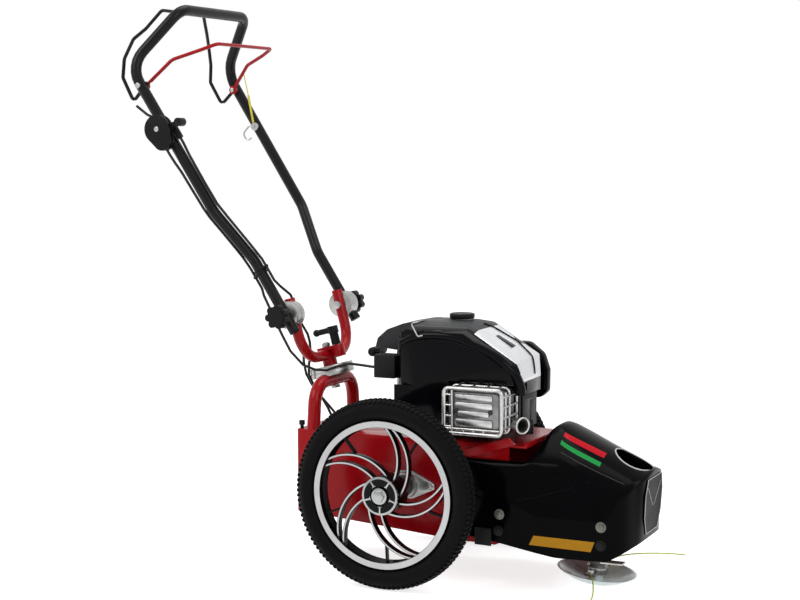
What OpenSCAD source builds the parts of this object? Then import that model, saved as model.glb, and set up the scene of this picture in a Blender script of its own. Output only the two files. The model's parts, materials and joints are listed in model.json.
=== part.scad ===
// Wheeled string trimmer: an engine and a belt-driven line head on two spoked wheels, steered by a
// folding handlebar on a swivel. Millimetres, +X forward, +Y to the machine's left, +Z up.

/* [Wheels] */
// Outer diameter of a tyre
tyre_d = 400; // [390:1:410]
// Width of a tyre
tyre_w = 48; // [44:1:52]
// Distance between the middles of the two tyres
track = 460; // [450:1:480]
// Diameter of the rim under the tyre
rim_d = 310; // [300:1:320]
// Radial height of the rim's flanges
rim_h = 14; // [10:1:18]
// Thickness of the rim's barrel
rim_wall = 6; // [4:0.5:9]
// Width of the rim
rim_w = 36; // [32:1:40]
// Diameter of the wheel's hub
hub_d = 80; // [74:1:86]
// Outer face of the hub from the wheel's middle
hub_out = 18; // [14:1:22]
// Inner face of the hub from the wheel's middle
hub_in = 30; // [24:1:36]
// Thickness of the hub cap
cap_t = 6; // [4:0.5:8]
// Diameter of the hole in the hub cap
cap_hole_d = 44; // [38:1:50]
// Pairs of spokes in a wheel
spoke_pairs = 5; // [4:1:6]
// Thickness of a spoke, seen on its face
spoke_t = 5; // [4:0.5:7]
// Depth of a spoke along the axle
spoke_depth = 16; // [12:1:20]
// Diameter of the ratchet collar behind the hub
ratchet_d = 46; // [40:1:50]

/* [Axle and gearbox] */
// Diameter of the axle
axle_d = 20; // [18:0.5:22]
// Diameter of an axle nut's washer
axle_washer_d = 34; // [30:1:38]
// Diameter of an axle nut across its corners
axle_nut_d = 26; // [24:1:30]
// Height of an axle nut with its washer
axle_nut_h = 10; // [8:1:12]
// Diameter of the boss of an axle bearing
bearing_d = 56; // [48:1:64]
// Length of an axle bearing outside the side plate
bearing_len = 22; // [18:1:26]
// Distance between the two ears of an axle bearing
bearing_ears = 110; // [100:1:120]
// Length of the gearbox
gearbox_l = 100; // [90:1:110]
// Width of the gearbox
gearbox_w = 90; // [80:1:100]
// Height of the gearbox
gearbox_h = 80; // [70:1:84]
// Gearbox input shaft behind the axle
gear_back = 28; // [20:1:32]
// Diameter of the gearbox input shaft
gear_shaft_d = 16; // [12:1:20]
// Radius of the gearbox pulley's groove
gear_pulley_r = 36; // [32:1:40]

/* [Chassis] */
// Width over the side plates
chassis_w = 230; // [222:1:240]
// Thickness of the red sheet
plate_t = 4; // [3:0.5:5]
// Height of the engine deck's top
deck_z = 300; // [294:1:304]
// Rear face of the chassis behind the axle
chassis_rear = 263; // [255:1:270]
// Front edge of the deck ahead of the axle
deck_front = 268; // [262:1:270]
// Rear edge of the deck behind the axle
deck_rear = 150; // [140:1:160]
// Front end of the side plates
side_front = 230; // [220:1:240]
// Lowest point of the side plates at the front
belly_z = 88; // [80:1:96]
// Lowest point of the side plates at the rear
belly_rear_z = 118; // [110:1:126]
// Height of the front plate's top, which carries the spindle
front_plate_z = 150; // [140:1:160]
// Front edge of the front plate
front_plate_x = 440; // [432:1:448]
// Width of the front plate ahead of the side plates
front_plate_w = 200; // [180:1:210]
// Height of the flange at the deck's front edge
lip_h = 6; // [4:1:12]
// Thickness of the sloping rail beside the deck
rail_t = 14; // [10:1:18]

/* [Steering] */
// Swivel point behind the axle
steer_back = 237; // [230:1:244]
// Height of the swivel point
steer_z = 416; // [410:1:422]
// Lean of the steering axis
steer_lean = 15; // [12:0.5:18]
// Diameter of the arch tube
arch_d = 29; // [26:1:32]
// Width of the arch at its feet, centre to centre
arch_w = 200; // [190:1:206]
// Width of the arch at its top corners, centre to centre
arch_top_w = 180; // [170:1:190]
// Bend radius of the arch
arch_bend = 50; // [40:1:60]
// Diameter of the pivot discs
pivot_disc_d = 98; // [90:1:106]
// Thickness of a pivot disc
pivot_disc_t = 11; // [9:0.5:13]
// Diameter of the pivot stud
pivot_d = 12; // [10:0.5:14]
// Diameter of the fork tube
fork_d = 24; // [20:1:26]
// Width of the fork, centre to centre
fork_w = 228; // [220:1:236]
// Bend radius of the fork
fork_bend = 60; // [50:1:70]
// Height of the fork's lower tube above the swivel point
fork_base = 36; // [34:1:40]
// Width of the fork's post and of the boss under its clamp
fork_post_d = 32; // [30:1:36]
// Height of the fold axis above the swivel point
fold_up = 140; // [134:1:146]
// Length of the fork arms past the fold axis
fork_past = 34; // [30:1:40]
// Diameter of the fold discs
fold_disc_d = 58; // [52:1:62]
// Thickness of a fold disc
fold_disc_t = 5; // [4:0.5:6]
// Diameter of a fold bolt
fold_bolt_d = 8; // [6:0.5:10]
// Diameter of a star knob over its lobes
knob_d = 52; // [46:1:56]
// Length of a star knob's boss
knob_boss = 13; // [10:1:16]
// Length of a star knob's lobed part
knob_h = 22; // [18:1:26]
// Lobes on a star knob
knob_lobes = 7; // [5:1:8]
// Height of the clamp lever
clamp_h = 42; // [36:1:46]
// Length of the clamp lever's arm
clamp_arm = 42; // [36:1:48]
// Clamp lever ahead of the steering axis
clamp_x = 26; // [24:1:28]

/* [Handlebar] */
// Diameter of the handlebar tube
bar_d = 24; // [22:0.5:26]
// Wall of the handlebar and fork tubes
tube_wall = 2; // [1.5:0.1:3]
// Lean of the handlebar
bar_lean = 33; // [30:0.5:36]
// Length of the tubes below the fold axis
bar_tail = 40; // [36:1:44]
// Length of the tubes from the fold axis to the lower bend
bar_lower = 139; // [132:1:146]
// Length of the tubes from the fold axis to the upper bend
bar_upper = 263; // [256:1:270]
// Length of the tubes from the fold axis to the shoulders
bar_shoulder = 639; // [632:1:646]
// Width between the tubes at the upper bend, centre to centre
bar_mid_w = 402; // [394:1:408]
// Width between the tubes at the shoulders, centre to centre
bar_top_w = 416; // [410:1:422]
// Width of the crossbar between its corners
grip_w = 284; // [276:1:292]
// Reach of the crossbar ahead of the tubes
grip_x = 142; // [136:1:148]
// Rise of the crossbar above the shoulders
grip_rise = 55; // [50:1:60]
// Bend radius of the tubes
bar_bend = 60; // [52:1:66]
// Bend radius at the crossbar's corners
grip_bend = 40; // [34:1:46]

/* [Bails] */
// Diameter of the bail rods
rod_d = 8; // [6:0.5:9]
// Distance of the bail pivots above the fold axis
bail_up = 588; // [584:1:592]
// Diameter of the bail bolts
bail_bolt_d = 6; // [5:0.5:7]
// Diameter of the eyes at the bail pivots
bail_eye_d = 20; // [16:1:22]
// Thickness of a bail's eye
bail_eye_t = 4; // [3:0.5:5]
// Reach of the stop bail
stop_reach = 168; // [162:1:172]
// Width of the stop bail's crossbar
stop_w = 242; // [236:1:248]
// Rise of the drive bail above its pivot
drive_rise = 154; // [148:1:158]
// Width of the drive bail's crossbar
drive_w = 178; // [170:1:186]

/* [Throttle] */
// Distance of the throttle below the pivots of the bails
throttle_drop = 109; // [102:1:116]
// Diameter of the throttle housing
throttle_d = 62; // [56:1:66]
// Thickness of the throttle housing
throttle_t = 18; // [16:1:22]
// Length of the throttle lever's arm
throttle_arm = 56; // [50:1:62]
// Thickness of the throttle lever
throttle_lever_t = 5; // [4:0.5:6]
// Diameter of the throttle lever's knob
throttle_knob_d = 18; // [14:1:20]

/* [Cables] */
// Diameter of the cables
cable_d = 6; // [5:0.5:6]
// Width of a cable tie
tie_w = 5; // [4:0.5:8]
// Thickness of a cable tie
tie_t = 1.6; // [1.2:0.1:2]

/* [Engine] */
// Crankshaft ahead of the axle
engine_x = 95; // [92:1:98]
// Diameter of the crankshaft
crank_d = 25; // [22:0.5:28]
// Width of the blower housing
housing_w = 236; // [230:1:242]
// Bottom of the blower housing above the deck
housing_up = 102; // [100:1:106]
// Height of the blower housing
housing_h = 144; // [139:1:149]
// Wall of the blower housing
housing_wall = 4; // [3:0.5:5]
// Thickness of the top cover and the front cowl
cover_t = 6; // [4:0.5:7]
// Width of the top cover
cover_w = 184; // [170:1:196]
// Width of the front cowl
cowl_w = 196; // [180:1:204]
// Joint between top cover and front cowl ahead of the crankshaft
cowl_split = 50; // [44:1:56]
// Diameter of the flywheel
flywheel_d = 136; // [120:2:138]
// Diameter of the fuel cap
fuel_cap_d = 54; // [50:1:60]
// Height of the fuel cap
fuel_cap_h = 11; // [10:1:15]
// Diameter of the fuel tank's neck
neck_d = 40; // [34:1:44]
// Length of the muffler guard
guard_l = 136; // [130:1:142]
// Width of the muffler guard
guard_w = 96; // [90:1:100]
// Height of the muffler guard
guard_h = 102; // [96:1:106]
// Wall of the muffler guard
guard_wall = 5; // [4:0.5:6]
// Outer diameter of the exhaust pipe
exhaust_d = 28; // [26:0.5:30]
// Bore of the exhaust pipe
exhaust_bore = 23; // [20:0.5:24]
// Length of the air filter box
air_l = 138; // [130:1:146]
// Thickness of the air filter box
air_t = 32; // [28:1:36]
// Height of the air filter box
air_h = 122; // [116:1:128]
// Height of the dipstick's tab
dipstick_h = 46; // [40:1:48]

/* [Nose] */
// Width of the nose over its sides
nose_w = 300; // [294:1:308]
// Wall of the nose
nose_wall = 3; // [2.5:0.5:4]
// Diameter of the hand scoop
scoop_d = 84; // [78:1:88]
// Depth of the hand scoop
scoop_depth = 30; // [24:1:34]
// Diameter of the stays between the nose's sides
stay_d = 12; // [10:1:14]
// Diameter of the bolt heads on the nose
nose_bolt_d = 22; // [18:1:24]

/* [Line head] */
// Spindle's foot ahead of the axle
head_x = 382; // [376:1:388]
// Forward tilt of the spindle
head_tilt = 7; // [5:0.5:8]
// Radius of the glide bowl's underside
bowl_r = 140; // [130:1:150]
// Height of the glide bowl
bowl_h = 28; // [24:1:30]
// Wall of the glide bowl
bowl_wall = 3; // [2.5:0.5:4]
// Diameter of the spindle
spindle_d = 20; // [18:0.5:22]
// Diameter of the sleeve on the spindle
sleeve_d = 32; // [28:1:36]
// Length of the line plate
line_plate_l = 108; // [100:1:116]
// Width of the line plate
line_plate_w = 24; // [20:1:28]
// Diameter of the line
line_d = 3; // [2.5:0.1:3.5]
// Groove radius of the head's pulley on the crankshaft
crank_pulley_r = 30; // [27:1:32]
// Groove radius of the spindle pulley
spindle_pulley_r = 45; // [42:1:48]
// Thickness of the belts
belt_t = 7; // [6:0.5:8]

/* [Clearances] */
// Gap between pieces that move past each other
gap = 0.3; // [0.2:0.05:0.5]
// Radial play of shafts and pins in their bores
play = 0.05; // [0.02:0.01:0.08]

/* [Hidden] */
$fn = 72;
past = 5;
tube_sides = 16;
red = [0.72, 0.03, 0.05];
black = [0.06, 0.06, 0.07];
zinc = [0.66, 0.67, 0.68];
iron = [0.30, 0.31, 0.32];

// Wheels and axle
axle_z = tyre_d / 2;
rim_r = rim_d / 2;
bearing_y = chassis_w / 2 + bearing_len;
axle_half = track / 2 + hub_out + cap_t + gap + axle_nut_h;

// Steering: the fold axis lies on the steering axis
fork_y = fork_w / 2;
disc_y = fork_y + fork_d / 2 + fold_disc_t;
bar_y = disc_y + gap + fold_disc_t + bar_d / 2;
knob_y = bar_y + bar_d / 2 + gap;
bolt_end = knob_y + knob_boss + knob_h / 2;
fold_x = -steer_back - fold_up * sin(steer_lean);
fold_z = steer_z + fold_up * cos(steer_lean);
arch_below = pivot_disc_t / 2 + arch_d / 2;
arch_x = -steer_back + arch_below * sin(steer_lean);
arch_z = steer_z - arch_below * cos(steer_lean);
plate_low = fork_base + fork_d / 2 - 3;
plate_top = plate_low + 8;
nut_h = 8;

// Handlebar and bails, in the handlebar's frame
bar_slope = (bar_top_w - bar_mid_w) / 2 / (bar_shoulder - bar_upper);
bail_y = bar_mid_w / 2 + (bail_up - bar_upper) * bar_slope;
throttle_up = bail_up - throttle_drop;
drive_eye_y = bail_y - bar_d / 2 - gap;
stop_eye_y = drive_eye_y - bail_eye_t - gap;
throttle_y = bar_mid_w / 2 + (throttle_up - bar_upper) * bar_slope;
throttle_face = throttle_y + bar_d / 2;
lever_y = throttle_face + throttle_t / 2;
bar_route = [[grip_x, grip_w / 2, bar_shoulder + grip_rise], [0, bar_top_w / 2, bar_shoulder],
    [0, bar_mid_w / 2, bar_upper], [0, bar_y, bar_lower], [0, bar_y, -bar_tail]];
stop_route = [[stop_reach, stop_w / 2, bail_up], [133, bail_y - 67, bail_up + 6], [75, bail_y - 42, bail_up + 19],
    [0, stop_eye_y - bail_eye_t / 2, bail_up]];
drive_route = [[76, drive_w / 2, bail_up + drive_rise], [40, bail_y - 77, bail_up + 127],
    [15, bail_y - 47, bail_up + 114], [-16, bail_y - 23, bail_up + 82], [-41, bail_y - 21, bail_up + 49],
    [-45, bail_y - 18, bail_up - 11], [0, drive_eye_y - bail_eye_t / 2, bail_up]];
guide_y = bar_mid_w / 2 + (throttle_up - bar_upper) * bar_slope - bar_d / 2;

// Engine
housing_z = deck_z + housing_up;
crown_z = housing_z + housing_h;
split_x = engine_x + cowl_split;
guard_x = 100;
guard_y = -72;
guard_z = deck_z + 22;
tank_top = crown_z - 30;
cap_x = 77;
dip = [250, -50];
grip_at = [-124, 0, housing_z + 64];
pull = [-0.78, 0.12, 0.61];
starter_d = 20;
cap_z = crown_z - 1;
housing_mid = [100, housing_z + 30];
housing_side = [[-45, housing_z], [-45, housing_z + 73], [-25, crown_z - 28], [15, crown_z - 4],
    [60, crown_z], [105, crown_z - 3], [150, crown_z - 16], [205, crown_z - 44], [238, crown_z - 73],
    [252, crown_z - 106], [252, housing_z]];
housing_right = [[-45, 0.30], [-20, 0.445], [20, 0.5], [225, 0.5], [252, 0.40]];
housing_left = [[252, 0.05], [238, 0.18], [210, 0.36], [165, 0.5], [20, 0.5], [-20, 0.445], [-45, 0.30]];
housing_arch = [[-125, -22], [-95, -10], [-60, -4], [-30, -1], [0, 0], [20, -1.5], [50, -9], [91, -30],
    [125, -54]];
housing_top_at = [60, crown_z + 0.5];
housing_slope_at = [190, crown_z - 35];
housing_slope = 31.8;

// Line head and belts
head_lift = bowl_r * (1 - cos(head_tilt));
plate_z0 = 22;
sleeve_top = 92;
housing_top = 188;
pulley_w = 18;
flange_t = 2;
spindle_housing_d = 48;
spindle_pulley_z = housing_top + 3 + pulley_w / 2;
crank_pulley_z = 225;
gear_pulley_z = axle_z + gearbox_h / 2 + 11;
spindle_pulley_x = head_x + spindle_pulley_z * sin(head_tilt);
spindle_pulley_wz = head_lift + spindle_pulley_z * cos(head_tilt);

// Nose: side outline, half widths along the length and half widths up the front
nose_front = 508;
nose_mid = [360, 200];
nose_side = [[112, 112], [112, 268], [268, 268], [297, 330], [311, 338], [326, 336], [345, 330],
    [508, 254], [505, 200], [500, 112], [455, 85], [345, 83], [200, 103]];
nose_plan = [[100, -17], [112, -15], [300, 0], [455, 0], [484, -32], [500, -85], [515, -100]];
nose_rise = [[70, 0], [165, 0], [268, -22], [300, -60], [336, -112], [350, -126]];
function nose_half(x) = nose_w / 2 + min(0, lookup(x, nose_plan));
nose_arch = [[-160, -96], [-145, -70], [-128, -48], [-110, -33], [-92, -22], [-72, -13], [-48, -5.5],
    [-24, -1], [0, 0], [24, -1], [48, -5.5], [72, -13], [92, -22], [110, -33], [128, -48], [145, -70],
    [160, -96]];
roof_back = [345, 326];
roof_front = [508, 249];
roof_lean = atan2(roof_back.y - roof_front.y, roof_front.x - roof_back.x);
scoop_x = 464;
scoop_z = roof_back.y - (scoop_x - roof_back.x) * tan(roof_lean);
stay_points = [[221, 161], [441, front_plate_z + stay_d / 2]];
extra_bolts = [[219, 126], [441, 118]];

// A point of the handlebar's frame in the machine's frame
function from_bar(p) = [fold_x + p.x * cos(bar_lean) - p.z * sin(bar_lean), p.y,
    fold_z + p.x * sin(bar_lean) + p.z * cos(bar_lean)];

// Routes of the cables: chosen points, in the handlebar's frame and in the machine's frame
throttle_bar_route = [[-12, -226, 429.7], [-12, -226, 419], [-16, -216, 400], [-17, -209, 378],
    [-17, -206, 330], [-17, -203, 285], [-17, -198, 262], [-17, -176, 210], [-17, -156, 158],
    [-18, -149, 132], [-18, -148, 104], [-18, -148, 90]];
stop_bar_route = [[22, -209, 439.7], [22, -209, 426], [18, -205, 400], [17, -204, 330],
    [17, -202, 275], [17, -190, 242], [17, -160, 168], [18, -149, 132], [18, -148, 104],
    [18, -148, 90]];
drive_bar_route = [[-44, -189, 565], [-32, -189, 535], [-9, -186, 500], [-6, -187, 420],
    [-6, -185, 330], [-6, -180, 260], [-6, -154, 200], [-6, -133, 150], [-6, -131, 120],
    [-6, -131, 104], [-6, -131, 90]];
throttle_fold_route = [from_bar([-18, -148, 89.6]), from_bar([-18, -148, 78]), [-324, -152, 592],
    [-308, -159, 570], [-292, -161, 541], [-276, -158, 508], [-262, -148, 474],
    [-242, -128.3, 443], [-233, -118, 437]];
stop_fold_route = [from_bar([18, -148, 89.6]), from_bar([18, -148, 78]), [-293, -134, 612],
    [-291, -116, 602], [-289, -96, 591], [-283, -86, 566], [-274, -78, 530], [-264, -64, 502],
    [-262, -58, 484], [-262, -56, 470]];
drive_fold_route = [from_bar([-6, -131, 89.6]), from_bar([-6, -131, 78]), [-312, -110, 590],
    [-305, -86, 562], [-297, -70, 535], [-287, -62, 508], [-280, -58, 488], [-280, -56, 474]];
throttle_swivel_route = [[-232.7, -117.7, 436.8], [-224, -107.7, 431], [-206, -86, 428],
    [-187, -76, 436], [-160, -68, 443], [-128, -62, 440], [-110, -60, 438], [-95, -60, 438]];
stop_swivel_route = [[-262, -55.9, 469.6], [-262, -54, 456], [-268, -51, 434], [-270, -48, 410],
    [-262, -40, 385], [-250, -28, 360], [-237, -22, 335], [-228, -20, 316], [-227, -20, 309],
    [-227, -20, 300]];
drive_swivel_route = [[-280, -55.9, 473.6], [-280, -54, 460], [-284, -45, 436], [-286, -30, 408],
    [-282, -14, 385], [-268, 0, 358], [-250, 8, 335], [-236, 12, 318], [-232, 12, 309],
    [-232, 12, 300]];
strand_a_route = [[0, -53.6, 33], [6, -66, 36], [14, -84, 36], [24, -102, 31], [33, -122, 20],
    [38, -142, 11], [40, -164, 8], [38, -186, 8]];
strand_b_route = [[0, 53.2, 33], [4, 66, 36], [12, 84, 38], [26, 110, 40], [46, 138, 41],
    [72, 164, 42], [102, 186, 43], [134, 202, 44]];

// Middle of the object's length, which the origin is put under
heel = drive_route[4];
rear_x = fold_x + heel.x * cos(bar_lean) - heel.z * sin(bar_lean) - rod_d / 2;
mid_x = (nose_front + rear_x) / 2;

// Vectors and frames
function unit(v) = v / norm(v);
function side_of(d) = unit(abs(d.z) > 0.9 ? cross([1, 0, 0], d) : cross([0, 0, 1], d));
function axes(x, y, z, at) = [[x.x, y.x, z.x, at.x], [x.y, y.y, z.y, at.y], [x.z, y.z, z.z, at.z],
    [0, 0, 0, 1]];
function turn(a, b, c) = acos(unit(b - a) * unit(c - b));
function back_off(a, b, c, r) = r * tan(turn(a, b, c) / 2);
function flip(route) = [for (p = route) [p.x, -p.y, p.z]];
function backwards(route) = [for (i = [len(route) - 1:-1:0]) route[i]];
function both_sides(route) = concat(backwards(flip(route)), route);
function inset(points, mid, by) = [for (p = points) p + (mid - p) * by / norm(p - mid)];
function plan_outline(pairs, width) = concat([for (p = pairs) [p.x, -p.y * width]],
    [for (i = [len(pairs) - 1:-1:0]) [pairs[i].x, pairs[i].y * width]]);

// Outline of a belt round two circles, for a polygon
function round_two(a, ra, b, rb, steps = 20) =
    let (d = b - a, dir = atan2(d.y, d.x), open = acos((ra - rb) / norm(d)))
    concat([for (i = [0:steps]) let (t = dir + open + i * (360 - 2 * open) / steps)
            a + ra * [cos(t), sin(t)]],
        [for (i = [0:steps]) let (t = dir - open + i * 2 * open / steps)
            b + rb * [cos(t), sin(t)]]);

module machine() {
    translate([-mid_x, 0, 0]) children();
}

module at_wheel(side) {
    machine() translate([0, side * track / 2, axle_z]) rotate([-90 * side, 0, 0]) children();
}

module at_steering() {
    machine() translate([-steer_back, 0, steer_z]) rotate([0, -steer_lean, 0]) children();
}

module at_bar() {
    machine() translate([fold_x, 0, fold_z]) rotate([0, -bar_lean, 0]) children();
}

module at_head() {
    machine() translate([head_x, 0, head_lift]) rotate([0, head_tilt, 0]) children();
}

module at_crank() {
    machine() translate([engine_x, 0, 0]) children();
}

// An outline of (x, z) points drawn out along Y
module along_y(points, y0, y1) {
    translate([0, y1, 0]) rotate([90, 0, 0]) linear_extrude(y1 - y0) polygon(points);
}

// A cylinder along Y from y0 to y1 at a given x and z
module y_rod(x, z, y0, y1, d) {
    translate([x, y0, z]) rotate([-90, 0, 0]) cylinder(d = d, h = y1 - y0);
}

// A long bar with an arched top, let down by a wall, that leans forward through a point
module arched_bar(arch, at, lean, wall) {
    foot = -500;
    translate([at.x, 0, at.y]) rotate([0, lean, 0]) rotate([90, 0, 90]) translate([0, 0, foot])
        linear_extrude(-2 * foot) polygon(concat([[arch[0].x, foot]],
            [for (p = arch) [p.x, p.y - wall]], [[arch[len(arch) - 1].x, foot]]));
}

module block(from, to) {
    translate(from) cube(to - from);
}

// A round bar between two points
module bar_between(a, b, d) {
    z = unit(b - a);
    x = side_of(z);
    multmatrix(axes(x, cross(z, x), z, a)) cylinder(d = d, h = norm(b - a));
}

// A route with its inner corners rounded, one bend radius for each
function corner(a, b, c, r, steps) =
    let (into = unit(b - a), out = unit(c - b), inward = unit(out - (out * into) * into),
        centre = b - into * back_off(a, b, c, r) + inward * r)
    [for (k = [0:steps]) let (t = k * turn(a, b, c) / steps)
        centre - r * cos(t) * inward + r * sin(t) * into];
function rounded(route, radii, steps) = concat([route[0]],
    [for (i = [1:len(route) - 2]) each corner(route[i - 1], route[i], route[i + 1], radii[i - 1], steps)],
    [route[len(route) - 1]]);
function longer(route, by) = let (last = len(route) - 1)
    concat([route[0] + by * unit(route[0] - route[1])], [for (i = [1:last - 1]) route[i]],
        [route[last] + by * unit(route[last] - route[last - 1])]);

// A round section swept along points; across is a direction that no stretch runs along
module sweep(points, d, across, sides = 8) {
    last = len(points) - 1;
    dirs = [for (i = [0:last])
        unit(unit(points[min(i + 1, last)] - points[min(i, last - 1)])
            + unit(points[max(i, 1)] - points[max(i - 1, 0)]))];
    rings = [for (i = [0:last], k = [0:sides - 1])
        let (s = unit(cross(dirs[i], across)), t = cross(dirs[i], s), a = 360 * (k + 0.5) / sides)
        points[i] + d / 2 * (cos(a) * s + sin(a) * t)];
    walls = [for (i = [0:last - 1], k = [0:sides - 1], half = [0, 1])
        let (a = i * sides + k, b = i * sides + (k + 1) % sides)
        half == 0 ? [a, a + sides, b + sides] : [a, b + sides, b]];
    caps = [for (k = [1:sides - 2], far = [0, 1])
        far == 0 ? [0, k, k + 1] : last * sides * [1, 1, 1] + [0, k + 1, k]];
    polyhedron(rings, concat(walls, caps), convexity = 6);
}

// A tube swept along points
module swept_tube(points, d, wall, across) {
    difference() {
        sweep(points, d, across, tube_sides);
        sweep(longer(points, past), d - 2 * wall, across, tube_sides);
    }
}

module cable(route, d) {
    sweep(route, d, [0.13, 0.99, 0.05]);
}

// Chassis

module side_plate(side) {
    low = [[-chassis_rear, belly_rear_z], [-chassis_rear + 76, belly_rear_z - 5],
        [85, belly_z + 4], [200, belly_z], [side_front, belly_z + 14]];
    y = side * (chassis_w - plate_t) / 2;
    difference() {
        along_y(concat(low, [[side_front, deck_z], [-chassis_rear, deck_z]]),
            y - plate_t / 2, y + plate_t / 2);
        y_rod(0, axle_z, y - plate_t, y + plate_t, axle_d + 6);
        y_rod(stay_points[0].x, stay_points[0].y, y - plate_t, y + plate_t, stay_d + 2 * play);
    }
}

module deck() {
    difference() {
        block([-deck_rear, -chassis_w / 2, deck_z - plate_t], [deck_front, chassis_w / 2, deck_z]);
        translate([engine_x, 0, deck_z - past - plate_t]) cylinder(d = crank_d + 30, h = plate_t + 2 * past);
    }
    block([deck_front - plate_t, -chassis_w / 2, deck_z - plate_t],
        [deck_front, chassis_w / 2, deck_z + lip_h]);
}

module front_plate() {
    inner = chassis_w / 2 - plate_t / 2;
    difference() {
        translate([0, 0, front_plate_z - plate_t]) linear_extrude(plate_t)
            polygon([[90, -inner], [side_front - 10, -inner], [side_front + 30, -front_plate_w / 2],
                [front_plate_x, -front_plate_w / 2], [front_plate_x, front_plate_w / 2],
                [side_front + 30, front_plate_w / 2], [side_front - 10, inner], [90, inner]]);
        translate([head_x, 0, head_lift]) rotate([0, head_tilt, 0])
            cylinder(d = spindle_housing_d, h = housing_top);
    }
}

module deck_rail() {
    foot = [138, deck_z - 22];
    head = [238, deck_z + 10];
    up = rail_t / 2;
    y = chassis_w / 2;
    mirror([0, 1, 0])
        along_y([foot + [up, -up], head + [up, -up], head + [-up, up], foot + [-up, up]], y, y + 10);
}

module rear_wall() {
    block([-chassis_rear, -chassis_w / 2, belly_rear_z], [-chassis_rear + plate_t, chassis_w / 2, deck_z]);
    block([-chassis_rear, -chassis_w / 2, deck_z - plate_t], [-deck_rear, chassis_w / 2, deck_z]);
}

module chassis_frame() {
    color(red) machine() {
        for (side = [-1, 1]) side_plate(side);
        deck_rail();
        deck();
        rear_wall();
        front_plate();
    }
}

module steering_arch() {
    foot = [arch_x, arch_w / 2, deck_z - past];
    corner = [arch_x, arch_top_w / 2, arch_z];
    points = rounded(both_sides([corner, foot]), [arch_bend, arch_bend], 8);
    color(red) difference() {
        machine() swept_tube(points, arch_d, tube_wall + 1, [1, 0, 0]);
        at_steering() translate([0, 0, -arch_d - pivot_disc_t - past])
            cylinder(d = pivot_d + 2 * play, h = arch_d + pivot_disc_t);
        machine() block([-2 * steer_back, -chassis_w, 0], [0, chassis_w, deck_z]);
    }
}

// Lower pivot disc with the stud that the fork turns on, and the stud's nut
module pivot_post() {
    head_z = -pivot_disc_t / 2 - arch_d;
    color(zinc) at_steering() {
        difference() {
            translate([0, 0, -pivot_disc_t]) cylinder(d = pivot_disc_d, h = pivot_disc_t);
            y_rod(0, -arch_below, -pivot_disc_d, pivot_disc_d, arch_d);
        }
        translate([0, 0, head_z - 4]) cylinder(d = pivot_d, h = plate_top + gap + nut_h - head_z + 6);
        translate([0, 0, head_z - 6]) cylinder(d = pivot_d * 1.8, h = 6, $fn = 6);
        translate([0, 0, plate_top + gap]) cylinder(d = pivot_d * 1.7, h = nut_h, $fn = 6);
    }
}

module bearing(side) {
    y0 = chassis_w / 2;
    ear = bearing_ears / 2;
    mirror([0, side > 0 ? 0 : 1, 0]) translate([0, 0, axle_z]) difference() {
        union() {
            along_y([[-ear - 10, -6], [-14, -30], [14, -30], [ear + 10, -6], [ear + 10, 6], [14, 30],
                [-14, 30], [-ear - 10, 6]], y0, y0 + 7);
            y_rod(0, 0, y0, y0 + bearing_len, bearing_d);
            for (x = [-ear, ear]) y_rod(x, 0, y0, y0 + 13, 14, $fn = 6);
        }
        y_rod(0, 0, y0 - past, y0 + bearing_len + past, axle_d + 2 * play);
    }
}

module axle_bearings() {
    color(zinc) machine() for (side = [-1, 1]) bearing(side);
}

module gearbox() {
    color(iron) machine() difference() {
        union() {
            block([-gearbox_l / 2, -gearbox_w / 2, axle_z - gearbox_h / 2],
                [gearbox_l / 2, gearbox_w / 2, axle_z + gearbox_h / 2]);
            y_rod(0, axle_z, -gearbox_w / 2 - 16, gearbox_w / 2 + 16, axle_d + 20);
        }
        y_rod(0, axle_z, -gearbox_w, gearbox_w, axle_d + 2 * play);
        translate([-gear_back, 0, axle_z + gearbox_h / 2 - 20])
            cylinder(d = gear_shaft_d + 2 * play, h = 20 + past);
    }
}

// A pulley with one groove, on its axis, centred on z = 0
module pulley(groove_r) {
    w = pulley_w / 2;
    r = groove_r + belt_t;
    rotate_extrude() polygon([[0, -w], [r, -w], [r, flange_t - w], [groove_r, flange_t - w],
        [groove_r, w - flange_t], [r, w - flange_t], [r, w], [0, w]]);
}

module belt(reach, ra, rb) {
    linear_extrude(belt_t, center = true) difference() {
        polygon(round_two([0, 0], ra + 2 * gap + belt_t, [reach, 0], rb + 2 * gap + belt_t));
        polygon(round_two([0, 0], ra + 2 * gap, [reach, 0], rb + 2 * gap));
    }
}

module gear_pulley() {
    shaft_z = axle_z + gearbox_h / 2 - 20;
    color(iron) machine() translate([-gear_back, 0, 0]) {
        translate([0, 0, gear_pulley_z]) pulley(gear_pulley_r);
        translate([0, 0, shaft_z + gap])
            cylinder(d = gear_shaft_d, h = gear_pulley_z + pulley_w / 2 + 6 - shaft_z);
    }
}

module drive_belt() {
    color(black) machine() translate([-gear_back, 0, gear_pulley_z])
        belt(gear_back + engine_x, gear_pulley_r, crank_pulley_r);
}

module head_belt() {
    run = spindle_pulley_x - engine_x;
    drop = crank_pulley_z - spindle_pulley_wz;
    color(black) machine() translate([engine_x, 0, crank_pulley_z]) rotate([0, atan2(drop, run), 0])
        belt(norm([run, drop]), crank_pulley_r, spindle_pulley_r);
}

module rear_knob() {
    color(black) machine() translate([-chassis_rear + 7, -chassis_w / 2 + 7, deck_z]) {
        cylinder(d = 8, h = 8);
        translate([0, 0, 8]) cylinder(d = 13, h = 10);
    }
}

// Wheels

module axle() {
    color(zinc) machine() translate([0, 0, axle_z]) {
        y_rod(0, 0, -axle_half, axle_half, axle_d);
        for (side = [0, 1]) mirror([0, side, 0]) {
            y_rod(0, 0, axle_half - axle_nut_h, axle_half - axle_nut_h + 3, axle_washer_d);
            y_rod(0, 0, axle_half - axle_nut_h, axle_half - 1, axle_nut_d, $fn = 6);
        }
    }
}

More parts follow.
